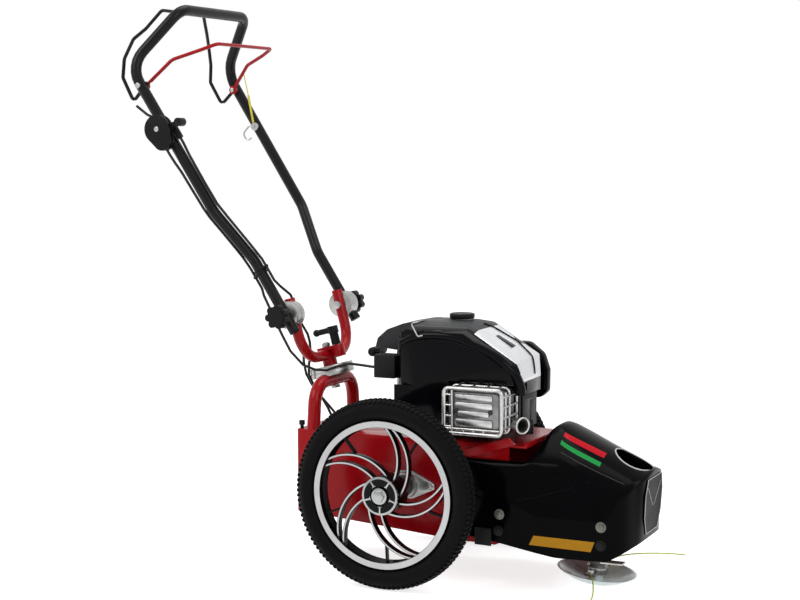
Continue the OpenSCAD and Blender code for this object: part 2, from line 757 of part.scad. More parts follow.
module tyre(side) {
    h = (tyre_d - rim_d) / 2;
    half = [[0, 0.72], [0.18, 0.90], [0.42, 1], [0.66, 0.97], [0.86, 0.76], [0.97, 0.42], [1, 0.15]];
    pts = [for (p = half) [rim_r + p.x * h, p.y * tyre_w / 2]];
    color(black) at_wheel(side) rotate_extrude($fn = 96)
        polygon(concat(pts, [for (i = [len(pts) - 1:-1:0]) [pts[i].x, -pts[i].y]]));
}

// A curved spoke from the hub to the rim, bulging to the right of its way out
module spoke(a0, a1, bulge) {
    r0 = hub_d / 2 - 3;
    r1 = rim_r - rim_wall / 2;
    p0 = r0 * [cos(a0), sin(a0)];
    p1 = r1 * [cos(a1), sin(a1)];
    chord = norm(p1 - p0);
    r = (chord * chord / 4 + bulge * bulge) / (2 * bulge);
    along = (p1 - p0) / chord;
    centre = (p0 + p1) / 2 + (r - bulge) * [-along.y, along.x];
    from = p0 - centre;
    translate([centre.x, centre.y, 0]) rotate(atan2(from.y, from.x))
        rotate_extrude(angle = 2 * asin(chord / (2 * r)), $fn = 96)
            translate([r - spoke_t / 2, -spoke_depth / 4]) square([spoke_t, spoke_depth]);
}

module rim(side) {
    w = rim_w / 2;
    flange_r = rim_r - rim_h;
    barrel_r = rim_r - rim_wall;
    collar = track / 2 - bearing_y - gap;
    color(black) at_wheel(side) difference() {
        union() {
            rotate_extrude($fn = 96) polygon([[flange_r, w], [rim_r, w], [rim_r, -w], [flange_r, -w],
                [flange_r, 4 - w], [barrel_r, 8 - w], [barrel_r, w - 8], [flange_r, w - 4]]);
            translate([0, 0, -hub_in]) cylinder(d = hub_d, h = hub_in + hub_out);
            translate([0, 0, -collar]) cylinder(d = ratchet_d, h = collar);
            for (i = [0:spoke_pairs - 1]) rotate(53 + i * 360 / spoke_pairs) {
                spoke(-3, 39, 23);
                spoke(-57, 35, 35);
                rotate(4) translate([104, -2, -spoke_depth / 4])
                    cube([barrel_r - 102, 4, spoke_depth * 0.6]);
            }
        }
        translate([0, 0, -collar - past]) cylinder(d = axle_d + 2 * play, h = collar + hub_out + 2 * past);
    }
}

module hub_cap(side) {
    color(zinc) at_wheel(side) translate([0, 0, hub_out]) difference() {
        cylinder(d = hub_d, h = cap_t);
        translate([0, 0, -past]) cylinder(d = cap_hole_d, h = cap_t + 2 * past);
    }
}

module tyre_right() { tyre(-1); }
module tyre_left() { tyre(1); }
module rim_right() { rim(-1); }
module rim_left() { rim(1); }
module hub_cap_right() { hub_cap(-1); }
module hub_cap_left() { hub_cap(1); }

// Nose

// The nose as one block, shrunk by a wall on every side and let down below
module nose_block(wall, down) {
    grow = (nose_w - 300) / 2;
    side = wall > 0 ? inset(nose_side, nose_mid, wall) : nose_side;
    low = [for (p = side) p.y < 130 ? [p.x, p.y - down] : p];
    wide = [for (p = nose_plan) [p.x, 150 + grow + p.y - wall]];
    tall = [for (p = nose_rise) [p.x - (p.x > 70 ? 0 : down), 150 + grow + p.y - wall]];
    intersection() {
        along_y(low, -nose_w, nose_w);
        linear_extrude(400) polygon(plan_outline(wide, 1));
        rotate([90, 0, 90]) linear_extrude(600)
            polygon([for (p = plan_outline(tall, 1)) [p.y, p.x]]);
        arched_bar(nose_arch, roof_back, roof_lean, wall);
    }
}

module scoop(d, depth, above) {
    translate([scoop_x, 0, scoop_z]) rotate([0, roof_lean, 0]) translate([0, 0, -depth])
        cylinder(d = d, h = depth + above);
}

module nose_shroud() {
    color(black) machine() difference() {
        union() {
            difference() {
                nose_block(0, 0);
                nose_block(nose_wall, 40);
                block([0, -chassis_w / 2 - gap, 0], [deck_front + 7, chassis_w / 2 + gap, 400]);
            }
            intersection() {
                nose_block(0, 0);
                scoop(scoop_d + 2 * nose_wall, scoop_depth + nose_wall, 40);
            }
        }
        scoop(scoop_d, scoop_depth, 60);
    }
}

// Stays across the nose with a bolt head at each end, and the bolts beside them
module nose_stays() {
    color(zinc) machine() {
        for (p = stay_points) {
            y = nose_half(p.x - stay_d / 2) - nose_wall;
            y_rod(p.x, p.y, -y, y, stay_d);
        }
        for (p = concat(stay_points, extra_bolts), side = [0, 1]) mirror([0, side, 0]) {
            y = nose_half(p.x + nose_bolt_d / 2);
            y_rod(p.x, p.y, y, y + 2, nose_bolt_d);
            y_rod(p.x, p.y, y, y + 6, nose_bolt_d * 0.7, $fn = 6);
        }
    }
}

// Grey plates at the rear lower corners of the nose
module side_brackets() {
    color(zinc) machine() for (side = [0, 1]) mirror([0, side, 0]) translate([0, 0, 92])
        linear_extrude(36) polygon([[165, nose_half(165)], [203, nose_half(203)],
            [203, nose_half(203) + nose_wall], [165, nose_half(165) + nose_wall]]);
}

// Blade under the nose's right edge that trims the line
module line_cutter() {
    y = nose_w / 2;
    color(zinc) machine() along_y([[440, 84.7], [455, 85], [486, 85], [486, 82], [440, 81.7]], -y, 24 - y);
}

// Engine

// The housing as one block, shrunk by a wall on every side
module housing_block(by) {
    plan = concat([for (p = housing_right) [p.x, -p.y * housing_w]],
        [for (p = housing_left) [p.x, p.y * housing_w]]);
    intersection() {
        along_y(by > 0 ? inset(housing_side, housing_mid, by) : housing_side, -housing_w, housing_w);
        translate([0, 0, housing_z - 2 * past]) linear_extrude(housing_h + 4 * past)
            polygon(by > 0 ? inset(plan, [housing_mid.x, 0], by) : plan);
        arched_bar(housing_arch, housing_top_at, 0, by);
        arched_bar(housing_arch, housing_slope_at, housing_slope, by);
    }
}

module housing_skin(width, x0, x1, z0) {
    intersection() {
        difference() {
            housing_block(0);
            housing_block(cover_t);
        }
        block([x0, -width / 2, z0], [x1, width / 2, crown_z + past]);
    }
}

module cover_region() { housing_skin(cover_w, -60, split_x, housing_z + 70); }
module cowl_region() { housing_skin(cowl_w, split_x, 260, housing_z + 28); }

module blower_housing() {
    inner = cover_t + housing_wall;
    color(black) machine() {
        difference() {
            housing_block(0);
            cover_region();
            cowl_region();
            housing_block(inner);
            translate([engine_x, 0, housing_z - past]) cylinder(d = flywheel_d + 20, h = 30 + past);
            block([guard_x - 5, -housing_w, housing_z - past], [300, guard_y + 2, guard_z + guard_h + 3]);
            translate([cap_x, 0, tank_top]) cylinder(d = neck_d + 2 * play, h = 60);
        }
        bar_between(grip_at - pull * (starter_d / 2 + gap + 1), grip_at - pull * 106, 16);
        block([-30, -housing_w / 2, deck_z + 20],
            [guard_x - 6, -housing_w / 2 + housing_wall, housing_z + 10]);
    }
}

module top_cover() {
    visor = [[-110, crown_z - 66], [-105, crown_z - 47], [-82, crown_z - 27], [-45, crown_z - 13],
        [-5, crown_z - 5], [15, crown_z - 4], [-25, crown_z - 28], [-45, housing_z + 73],
        [-60, housing_z + 73]];
    color([0.13, 0.13, 0.14]) machine() difference() {
        union() {
            cover_region();
            along_y(visor, -40, 40);
        }
        translate([cap_x, 0, tank_top]) cylinder(d = neck_d + 2 * play, h = 60);
    }
}

module front_cowl() {
    color([0.75, 0.76, 0.78]) machine() cowl_region();
}

// Crankcase, finned barrel, top plate under the housing and the dipstick's pipe
module engine_block() {
    barrel_x = engine_x + 60;
    color(iron) machine() difference() {
        union() {
            block([engine_x - 85, -75, deck_z], [engine_x + 75, 75, deck_z + 12]);
            translate([engine_x, 0, deck_z]) cylinder(d = 144, h = housing_up - 4);
            block([engine_x - 110, guard_y + 6, housing_z - 6], [engine_x + 105, 105, housing_z]);
            block([barrel_x, -38, deck_z + 24], [barrel_x + 76, 38, housing_z - 10]);
            for (i = [0:6]) block([barrel_x + 9 + i * 10, -55, deck_z + 20],
                [barrel_x + 13 + i * 10, 55, housing_z - 6]);
            translate([dip.x, dip.y, deck_z + 16]) cylinder(d = 18, h = 28);
            translate([barrel_x + 60, dip.y, deck_z + 26]) rotate([0, 90, 0])
                cylinder(d = 14, h = dip.x - barrel_x - 60);
        }
        translate([engine_x, 0, deck_z - past]) cylinder(d = crank_d + 2 * play, h = housing_up + 2 * past);
        translate([dip.x, dip.y, deck_z + 24]) cylinder(d = 12 + 2 * play, h = 30);
    }
}

module crankshaft() {
    low = crank_pulley_z - pulley_w / 2 - 14;
    color(zinc) at_crank() {
        translate([0, 0, low]) cylinder(d = crank_d, h = housing_z + 40 - low);
        translate([0, 0, crank_pulley_z]) pulley(crank_pulley_r);
        translate([0, 0, gear_pulley_z]) pulley(crank_pulley_r);
    }
}

module flywheel() {
    color(iron) at_crank() translate([0, 0, housing_z + 4]) difference() {
        union() {
            cylinder(d = flywheel_d, h = 12);
            for (i = [0:11]) rotate(i * 30) translate([50, -1.5, 0]) cube([flywheel_d / 2 - 54, 3, 24]);
        }
        translate([0, 0, -past]) cylinder(d = crank_d, h = 30);
    }
}

module fuel_tank() {
    color([0.8, 0.8, 0.76]) machine() {
        block([5, -70, housing_z + 48], [140, 50, tank_top]);
        translate([cap_x, 0, tank_top - 1]) cylinder(d = neck_d, h = cap_z + 9 - tank_top);
    }
}

module fuel_cap() {
    color(black) machine() translate([cap_x, 0, cap_z + gap + 1]) difference() {
        cylinder(d = fuel_cap_d, h = fuel_cap_h);
        translate([0, 0, -past]) cylinder(d = neck_d + 2 * play, h = 7.5 + past);
    }
}

// Muffler can with its port to the barrel and its outlet pipe
module muffler() {
    can = guard_wall + 6;
    mouth = [260, -116, deck_z + 43];
    foot = [222, -93, deck_z + 43];
    color(zinc) machine() difference() {
        union() {
            block([guard_x + can, guard_y - guard_w + can, guard_z + can],
                [guard_x + guard_l - can, guard_y - 6, guard_z + guard_h - can]);
            y_rod(engine_x + 90, deck_z + 60, guard_y - 8, -55, 26);
            bar_between(foot, mouth, exhaust_d);
            for (x = [30, guard_l - 30]) y_rod(guard_x + x, guard_z + guard_h / 2,
                guard_y - guard_w + guard_wall, guard_y - guard_w + can + 2, 10);
        }
        bar_between(foot + 0.3 * (mouth - foot), mouth + 0.3 * (mouth - foot), exhaust_bore);
    }
}

module muffler_guard() {
    x1 = guard_x + guard_l;
    y0 = guard_y - guard_w;
    slot = (guard_l - 40) / 3;
    color([0.75, 0.75, 0.74]) machine() difference() {
        block([guard_x, y0, guard_z], [x1, guard_y, guard_z + guard_h]);
        block([guard_x + guard_wall, y0 + guard_wall, guard_z + guard_wall],
            [x1 - guard_wall, guard_y + past, guard_z + guard_h - guard_wall]);
        for (i = [0:2], k = [0:2]) block([guard_x + 14 + i * (slot + 6), y0 - past, guard_z + 16 + k * 25],
            [guard_x + 14 + i * (slot + 6) + slot, y0 + 2 * past, guard_z + 32 + k * 25]);
        bar_between([215, -88.8, deck_z + 43], [267, -120.2, deck_z + 43], exhaust_d + 2 * gap);
    }
}

module air_box() {
    y = housing_w / 2;
    x = engine_x - 5;
    z = crown_z - 59;
    color(black) machine() along_y([[x, z - air_h], [x, z - 10], [x + 10, z], [x + air_l - 45, z],
        [x + air_l - 12, z - 25], [x + air_l, z - 60], [x + air_l, z - air_h + 15],
        [x + air_l - 15, z - air_h]], y, y + air_t);
}

module control_box() {
    color(black) machine() block([-95, -82, housing_z + 16], [-45, -43, housing_z + 66]);
}

module wire_clip() {
    y = -housing_w / 2;
    points = [[36, y, crown_z - 27], [36, y - 4, crown_z - 27], [27, y - 4, crown_z - 29],
        [11, y - 4, crown_z - 2], [26, y - 4, crown_z + 2], [26, y + 18, crown_z + 2]];
    color([0.8, 0.8, 0.8]) machine() sweep(rounded(points, [2, 4, 4, 4], 3), 3.5, [0.5, 0.4, 0.77]);
}

module starter_grip() {
    color(black) machine() {
        y_rod(grip_at.x, grip_at.z, -30, 30, starter_d);
        y_rod(grip_at.x, grip_at.z, -34, -30, 14);
        y_rod(grip_at.x, grip_at.z, 30, 34, 14);
    }
}

module dipstick() {
    color([0.55, 0.56, 0.57]) machine() translate([dip.x, dip.y, deck_z + 44 + gap]) {
        translate([-5, -12, 0]) cube([10, 24, dipstick_h]);
        translate([0, 0, -18]) cylinder(d = 12, h = 19);
    }
}

// Line head

module spindle_housing() {
    color(iron) at_head() difference() {
        translate([0, 0, sleeve_top + gap])
            cylinder(d = spindle_housing_d, h = housing_top - sleeve_top - gap);
        cylinder(d = spindle_d + 2 * play, h = housing_top + past);
    }
}

module spindle() {
    top = spindle_pulley_z + pulley_w / 2;
    color(zinc) at_head() {
        translate([0, 0, plate_z0]) cylinder(d = spindle_d, h = top + 10 - plate_z0);
        translate([0, 0, plate_z0 + 14]) cylinder(d = sleeve_d, h = sleeve_top - plate_z0 - 14);
        translate([0, 0, spindle_pulley_z]) pulley(spindle_pulley_r);
        translate([0, 0, top]) cylinder(d = spindle_d * 1.5, h = 8, $fn = 6);
    }
}

module line_plate() {
    half = line_plate_l / 2;
    color(black) at_head() translate([0, 0, plate_z0]) difference() {
        union() {
            cylinder(d = 44, h = 14);
            block([-line_plate_w / 2, -half, 4], [line_plate_w / 2, half, 10]);
            for (y = [-half + 8, half - 8]) translate([0, y, 4]) cylinder(d = 14, h = 13);
        }
        translate([0, 0, -past]) cylinder(d = spindle_d, h = 14 + 2 * past);
    }
}

module glide_bowl() {
    color([0.86, 0.90, 0.92]) at_head() {
        intersection() {
            difference() {
                translate([0, 0, bowl_r]) sphere(bowl_r, $fn = 120);
                translate([0, 0, bowl_r]) sphere(bowl_r - bowl_wall, $fn = 120);
            }
            cylinder(r = bowl_r, h = bowl_h);
        }
        translate([0, 0, bowl_wall / 2]) cylinder(d = 30, h = plate_z0 - bowl_wall / 2);
    }
}

module line_strand_a() {
    color([0.75, 0.85, 0.25]) at_head() cable(strand_a_route, line_d);
}

module line_strand_b() {
    color([0.75, 0.85, 0.25]) at_head() cable(strand_b_route, line_d);
}

// Steering

module fold_bolt_hole() {
    y_rod(0, fold_up, -bolt_end - past, bolt_end + past, fold_bolt_d + 2 * play);
}

module fork() {
    arm = [[0, fork_y, fork_base], [0, fork_y, fold_up + fork_past]];
    color(red) at_steering() difference() {
        union() {
            swept_tube(rounded(both_sides(arm), [fork_bend, fork_bend], 8), fork_d, tube_wall, [1, 0, 0]);
            translate([0, 0, pivot_disc_t]) cylinder(d = fork_post_d, h = fork_base - pivot_disc_t);
            block([-16, -16, plate_low], [clamp_x, 16, plate_top]);
            translate([clamp_x, 0, fork_base - 10]) cylinder(d = fork_post_d, h = plate_top - fork_base + 10);
        }
        fold_bolt_hole();
        cylinder(d = pivot_d + 2 * play, h = plate_top + past);
        translate([clamp_x, 0, plate_low - past]) cylinder(d = 8 + 2 * play, h = plate_top);
    }
}

// Upper pivot disc, and on each arm a fold disc with its bolt
module fork_discs() {
    color(zinc) at_steering() {
        difference() {
            translate([0, 0, gap]) cylinder(d = pivot_disc_d, h = pivot_disc_t - gap);
            translate([0, 0, -past]) cylinder(d = pivot_d + 2 * play, h = pivot_disc_t + 2 * past);
        }
        for (side = [0, 1]) mirror([0, side, 0]) {
            difference() {
                y_rod(0, fold_up, fork_y, disc_y, fold_disc_d);
                translate([0, fork_y, 0]) cylinder(d = fork_d, h = 2 * fold_up);
            }
            y_rod(0, fold_up, fork_y - fork_d / 2 - 4, bolt_end, fold_bolt_d);
            y_rod(0, fold_up, fork_y - fork_d / 2 - 6, fork_y - fork_d / 2, fold_bolt_d * 2.2);
        }
    }
}

module clamp_lever() {
    z0 = plate_top + gap;
    color(black) at_steering() translate([clamp_x, 0, z0]) {
        translate([0, 0, -7]) cylinder(d = 8, h = 8);
        cylinder(d = 20, h = clamp_h - 10);
        translate([0, 0, clamp_h - 16]) cylinder(d = 24, h = 16);
        translate([-clamp_arm, 0, clamp_h - 8]) rotate([0, 90, 0]) cylinder(d = 13, h = clamp_arm);
        translate([-clamp_arm, 0, clamp_h - 8]) sphere(d = 16);
    }
}

// Seven round lobes round a hub, and a boss on the tube's side
module star_knob(side) {
    lobe_d = knob_d * 0.30;
    color(black) at_bar() mirror([0, side > 0 ? 0 : 1, 0]) difference() {
        union() {
            y_rod(0, 0, knob_y, knob_y + knob_boss, 24);
            y_rod(0, 0, knob_y + knob_boss, knob_y + knob_boss + knob_h, knob_d * 0.74);
            for (i = [0:knob_lobes - 1]) rotate([0, i * 360 / knob_lobes, 0])
                y_rod((knob_d - lobe_d) / 2, 0, knob_y + knob_boss + 1,
                    knob_y + knob_boss + knob_h - 2, lobe_d);
        }
        y_rod(0, 0, knob_y - past, bolt_end + gap, fold_bolt_d + 2 * play);
    }
}

module knob_right() { star_knob(-1); }
module knob_left() { star_knob(1); }

// Handlebar

module handlebar() {
    radii = [grip_bend, bar_bend, bar_bend, bar_bend];
    color(black) at_bar() difference() {
        swept_tube(rounded(both_sides(bar_route), concat(backwards(radii), radii), 6), bar_d, tube_wall,
            [1, 0, 0]);
        y_rod(0, 0, -bolt_end - past, bolt_end + past, fold_bolt_d + 2 * play);
        y_rod(0, bail_up, -bar_top_w, bar_top_w, bail_bolt_d);
    }
}

module bar_discs() {
    y0 = disc_y + gap;
    color(zinc) at_bar() for (side = [0, 1]) mirror([0, side, 0]) difference() {
        y_rod(0, 0, y0, bar_y, fold_disc_d);
        translate([0, bar_y, -fold_disc_d]) cylinder(d = bar_d, h = 2 * fold_disc_d);
        y_rod(0, 0, y0 - past, bar_y + past, fold_bolt_d + 2 * play);
    }
}

// A tie round the tube and a cable beside it
module tie(at) {
    difference() {
        polygon(round_two([0, 0], bar_d / 2 + tie_t, at, cable_d / 2 + gap + tie_t));
        polygon(round_two([0, 0], bar_d / 2 + play, at, cable_d / 2 + gap));
    }
}

// Plugs in the tubes' lower ends, and the ties that hold the cables to the near tube
module bar_trim() {
    color(black) at_bar() {
        for (side = [-1, 1]) translate([0, side * bar_y, -bar_tail]) {
            translate([0, 0, -3]) cylinder(d = bar_d, h = 3);
            translate([0, 0, -1])
                cylinder(d = (bar_d - 2 * tube_wall) * cos(180 / tube_sides) - 2 * play, h = 12);
        }
        for (i = [0, 1]) translate([0, -bar_y, 104 + i * (tie_w + 2)]) linear_extrude(tie_w)
            tie([18 * (2 * i - 1), 0]);
    }
}

module throttle_housing() {
    low = [-8, throttle_up - 28];
    color(black) at_bar() mirror([0, 1, 0]) difference() {
        union() {
            along_y(round_two([-5, throttle_up], throttle_d / 2, low, throttle_d / 2 - 10),
                throttle_face, throttle_face + throttle_t);
            translate([0, throttle_y, throttle_up]) rotate([-atan(bar_slope), 0, 0])
                translate([0, 0, -10]) cylinder(d = bar_d + 8, h = 20);
            translate([22, throttle_y + 4, throttle_up - 39]) cylinder(d = 14, h = 34);
        }
        translate([0, throttle_y, throttle_up]) rotate([-atan(bar_slope), 0, 0])
            translate([0, 0, -100]) cylinder(d = bar_d, h = 200);
        difference() {
            block([-5 - throttle_d, lever_y - throttle_lever_t / 2 - gap, throttle_up - throttle_d],
                [throttle_d, lever_y + throttle_lever_t / 2 + gap, throttle_up + throttle_d]);
            block([-6 - throttle_d, 0, 0], [-26, 2 * lever_y, 2 * throttle_up]);
            y_rod(-5, throttle_up, throttle_face, 2 * lever_y, 8);
        }
    }
}

module throttle_lever() {
    color(black) at_bar() translate([-5, -lever_y, throttle_up]) difference() {
        union() {
            y_rod(0, 0, -throttle_lever_t / 2, throttle_lever_t / 2, 36);
            rotate([0, 17, 0]) block([0, -throttle_lever_t / 2, -5], [throttle_arm, throttle_lever_t / 2, 5]);
            rotate([0, 17, 0]) y_rod(throttle_arm, 0, -11, 11, throttle_knob_d);
        }
        y_rod(0, 0, -2 * past, 2 * past, 8 + 2 * play);
    }
}

// Eyelet on the far tube, with a wire pigtail for the starter rope
module rope_guide() {
    z = throttle_up + 6;
    color([0.8, 0.8, 0.8]) at_bar() {
        y_rod(0, z, guide_y - 3, guide_y - 0.2, 19);
        sweep(rounded([[0, guide_y - 4.5, z], [-12, guide_y - 4.5, z + 8], [-34, guide_y - 4.5, z + 2],
            [-36, guide_y - 4.5, z - 25], [-21, guide_y - 4.5, z - 18]], [6, 9, 9], 4), 4, [0, 1, 0]);
    }
}

module bail_bolts() {
    color(zinc) at_bar() for (side = [0, 1]) mirror([0, side, 0]) {
        y_rod(0, bail_up, stop_eye_y - bail_eye_t - gap - 3, bail_y + bar_d / 2 + 3, bail_bolt_d);
        y_rod(0, bail_up, stop_eye_y - bail_eye_t - gap - 5, stop_eye_y - bail_eye_t - gap, 11, $fn = 6);
        y_rod(0, bail_up, bail_y + bar_d / 2, bail_y + bar_d / 2 + 4, 12);
    }
}

// A bail of bent rod between two pivot eyes, flat at the eyes
module bail(route, radii, eye_y, across) {
    difference() {
        union() {
            sweep(rounded(both_sides(route), concat(backwards(radii), radii), 4), rod_d, across);
            for (side = [0, 1]) mirror([0, side, 0]) y_rod(0, bail_up, eye_y - bail_eye_t, eye_y, bail_eye_d);
        }
        for (side = [0, 1]) mirror([0, side, 0]) {
            y_rod(0, bail_up, eye_y - bail_eye_t - past, eye_y + past, bail_bolt_d + 2 * play);
            for (y = [eye_y - bail_eye_t - rod_d, eye_y]) y_rod(0, bail_up, y, y + rod_d, bail_eye_d + rod_d);
        }
    }
}

module stop_bail() {
    color(red) at_bar() bail(stop_route, [16, 30, 30], stop_eye_y, [0, 0, 1]);
}

module drive_bail() {
    color(black) at_bar() bail(drive_route, [16, 20, 20, 20, 10, 8], drive_eye_y, [0.8, 0, -0.6]);
}

// Cables

module bar_cables() {
    color(black) at_bar() for (route = [throttle_bar_route, stop_bar_route, drive_bar_route])
        cable(route, cable_d);
}

module fold_cables() {
    color(black) machine() for (route = [throttle_fold_route, stop_fold_route, drive_fold_route])
        cable(route, cable_d);
}

module swivel_cables() {
    color(black) machine() for (route = [throttle_swivel_route, stop_swivel_route, drive_swivel_route])
        cable(route, cable_d);
}

// Wire from the stop bail to the far tube, with its sleeve
module bail_wire() {
    top = [52, bail_y - 35, bail_up + 8];
    mid = [32, bail_y - 28, bail_up - 36];
    foot = [4, guide_y - 5.8, throttle_up + 15];
    color([0.8, 0.75, 0.2]) at_bar() {
        bar_between(top, mid, 2.5);
        bar_between(mid, foot, 5);
    }
}

chassis_frame();
steering_arch();
pivot_post();
axle_bearings();
gearbox();
drive_belt();
head_belt();
nose_shroud();
nose_stays();
side_brackets();
line_cutter();
spindle_housing();
engine_block();
blower_housing();
top_cover();
front_cowl();
fuel_tank();
muffler();
muffler_guard();
air_box();
control_box();
wire_clip();
rear_knob();
axle();
tyre_right();
rim_right();
hub_cap_right();
tyre_left();
rim_left();
hub_cap_left();
gear_pulley();
crankshaft();
flywheel();
spindle();
line_plate();
glide_bowl();
line_strand_a();
line_strand_b();
fork();
fork_discs();
clamp_lever();
handlebar();
bar_discs();
bar_trim();
throttle_housing();
rope_guide();
bail_bolts();
stop_bail();
drive_bail();
throttle_lever();
knob_right();
knob_left();
bar_cables();
fold_cables();
swivel_cables();
bail_wire();
starter_grip();
fuel_cap();
dipstick();
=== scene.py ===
"""Dresses the wheeled string trimmer: its finishes, its finer pieces, a plain studio and the camera."""

import json
import logging
import math
from collections.abc import Callable, Iterator
from contextlib import contextmanager
from dataclasses import dataclass
from enum import Enum

import bpy
from mathutils import Matrix, Vector

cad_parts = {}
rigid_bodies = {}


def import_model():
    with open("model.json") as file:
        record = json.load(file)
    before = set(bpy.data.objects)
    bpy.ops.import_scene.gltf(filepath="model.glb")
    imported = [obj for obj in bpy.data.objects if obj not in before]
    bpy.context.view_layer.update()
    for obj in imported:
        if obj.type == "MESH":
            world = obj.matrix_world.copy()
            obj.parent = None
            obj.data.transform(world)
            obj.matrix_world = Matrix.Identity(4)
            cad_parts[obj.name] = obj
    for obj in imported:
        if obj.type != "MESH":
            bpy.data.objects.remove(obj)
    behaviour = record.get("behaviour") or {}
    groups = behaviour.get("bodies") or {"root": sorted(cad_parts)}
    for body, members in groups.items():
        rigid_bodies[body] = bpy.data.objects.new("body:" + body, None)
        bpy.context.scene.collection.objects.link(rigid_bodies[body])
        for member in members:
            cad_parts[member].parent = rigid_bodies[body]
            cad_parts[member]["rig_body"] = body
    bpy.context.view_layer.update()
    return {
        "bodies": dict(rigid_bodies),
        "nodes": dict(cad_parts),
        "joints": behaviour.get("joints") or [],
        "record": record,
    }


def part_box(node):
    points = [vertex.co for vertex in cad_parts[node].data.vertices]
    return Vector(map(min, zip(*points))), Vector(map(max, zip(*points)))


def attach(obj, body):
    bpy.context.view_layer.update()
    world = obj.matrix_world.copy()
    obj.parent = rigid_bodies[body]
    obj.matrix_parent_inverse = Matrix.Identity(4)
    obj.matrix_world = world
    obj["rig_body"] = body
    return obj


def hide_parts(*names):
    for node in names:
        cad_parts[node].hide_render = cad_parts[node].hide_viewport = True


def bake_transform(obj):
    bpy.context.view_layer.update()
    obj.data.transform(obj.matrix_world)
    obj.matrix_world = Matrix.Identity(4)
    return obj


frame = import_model()

log = logging.getLogger("trimmer")

Piece = bpy.types.Object
Tree = bpy.types.NodeTree
Socket = bpy.types.NodeSocket
Triple = tuple[float, float, float]
Run = tuple[tuple[float, float], ...]
Path = tuple[Triple, ...]

MM = 0.001  # metres in a millimetre
AXLE_X = 75.28  # the axle ahead of the frame's origin, in millimetres
FOLD = (-273.235, 551.23)  # the handlebar's fold from the floor under the axle, in millimetres
BAR_LEAN = math.radians(33.0)  # the handlebar's lean to the rear
SIDEWAYS = (math.pi / 2, 0, 0)  # turns an upright axis across the machine
WELD = 0.00002  # points that are closer become one, in metres
FLAT = 0.6  # faces that differ by less become one, in degrees
ROUND = 60.0  # tubes are shaded smooth up to this angle, in degrees


def row(x: float, y: float, z: float) -> Vector:
    """Turns a point of the machine, in millimetres from the floor under the axle, into the frame.

    Args:
        x: Forward of the axle.
        y: To the machine's left.
        z: Above the floor.

    Returns:
        The point in metres.
    """
    return Vector(((x + AXLE_X) * MM, y * MM, z * MM))


def on_bar(x: float, y: float, z: float) -> Vector:
    """Turns a point of the leaning handlebar, in millimetres from its fold, into the frame.

    Args:
        x: Across the tubes, forward.
        y: To the machine's left.
        z: Along the tubes.

    Returns:
        The point in metres.
    """
    c, s = math.cos(BAR_LEAN), math.sin(BAR_LEAN)
    return row(FOLD[0] + x * c - z * s, y, FOLD[1] + x * s + z * c)


def feed(tree: Tree, node: bpy.types.Node, inputs: dict[str | int, object]) -> None:
    """Sets the inputs of a shader node.

    Args:
        tree: The nodes that it belongs to.
        node: The node.
        inputs: For each input, its value or the socket that it is linked to.
    """
    for key, value in inputs.items():
        if isinstance(value, Socket):
            tree.links.new(value, node.inputs[key])
        else:
            node.inputs[key].default_value = value


def added(tree: Tree, kind: str, inputs: dict[str | int, object], **settings: str) -> bpy.types.Node:
    """Adds a shader node.

    Args:
        tree: The nodes that it joins.
        kind: The node's kind.
        inputs: For each input, its value or the socket that it is linked to.
        settings: The node's own settings.

    Returns:
        The node.
    """
    node = tree.nodes.new(f"ShaderNode{kind}")
    for name, value in settings.items():
        setattr(node, name, value)
    feed(tree, node, inputs)
    return node


def sums(tree: Tree, kind: str, first: Socket | float, second: Socket | float) -> Socket:
    """Joins two values with a sum of the given kind, and gives the answer's socket."""
    return added(tree, "Math", {0: first, 1: second}, operation=kind).outputs[0]


def mixed(tree: Tree, share: Socket, under: Socket, over: Triple) -> Socket:
    """Lays a colour over another by a share, and gives the socket of the two together."""
    colours = {"Factor": share, "A": under, "B": (*over, 1)}
    return added(tree, "Mix", colours, data_type="RGBA").outputs["Result"]


class Grain(Enum):
    """How the skin of a finish is roughened."""

    PEEL = "peel"
    CAST = "cast"
    PEBBLE = "pebble"
    BRUSHED = "brushed"
    MESH = "mesh"


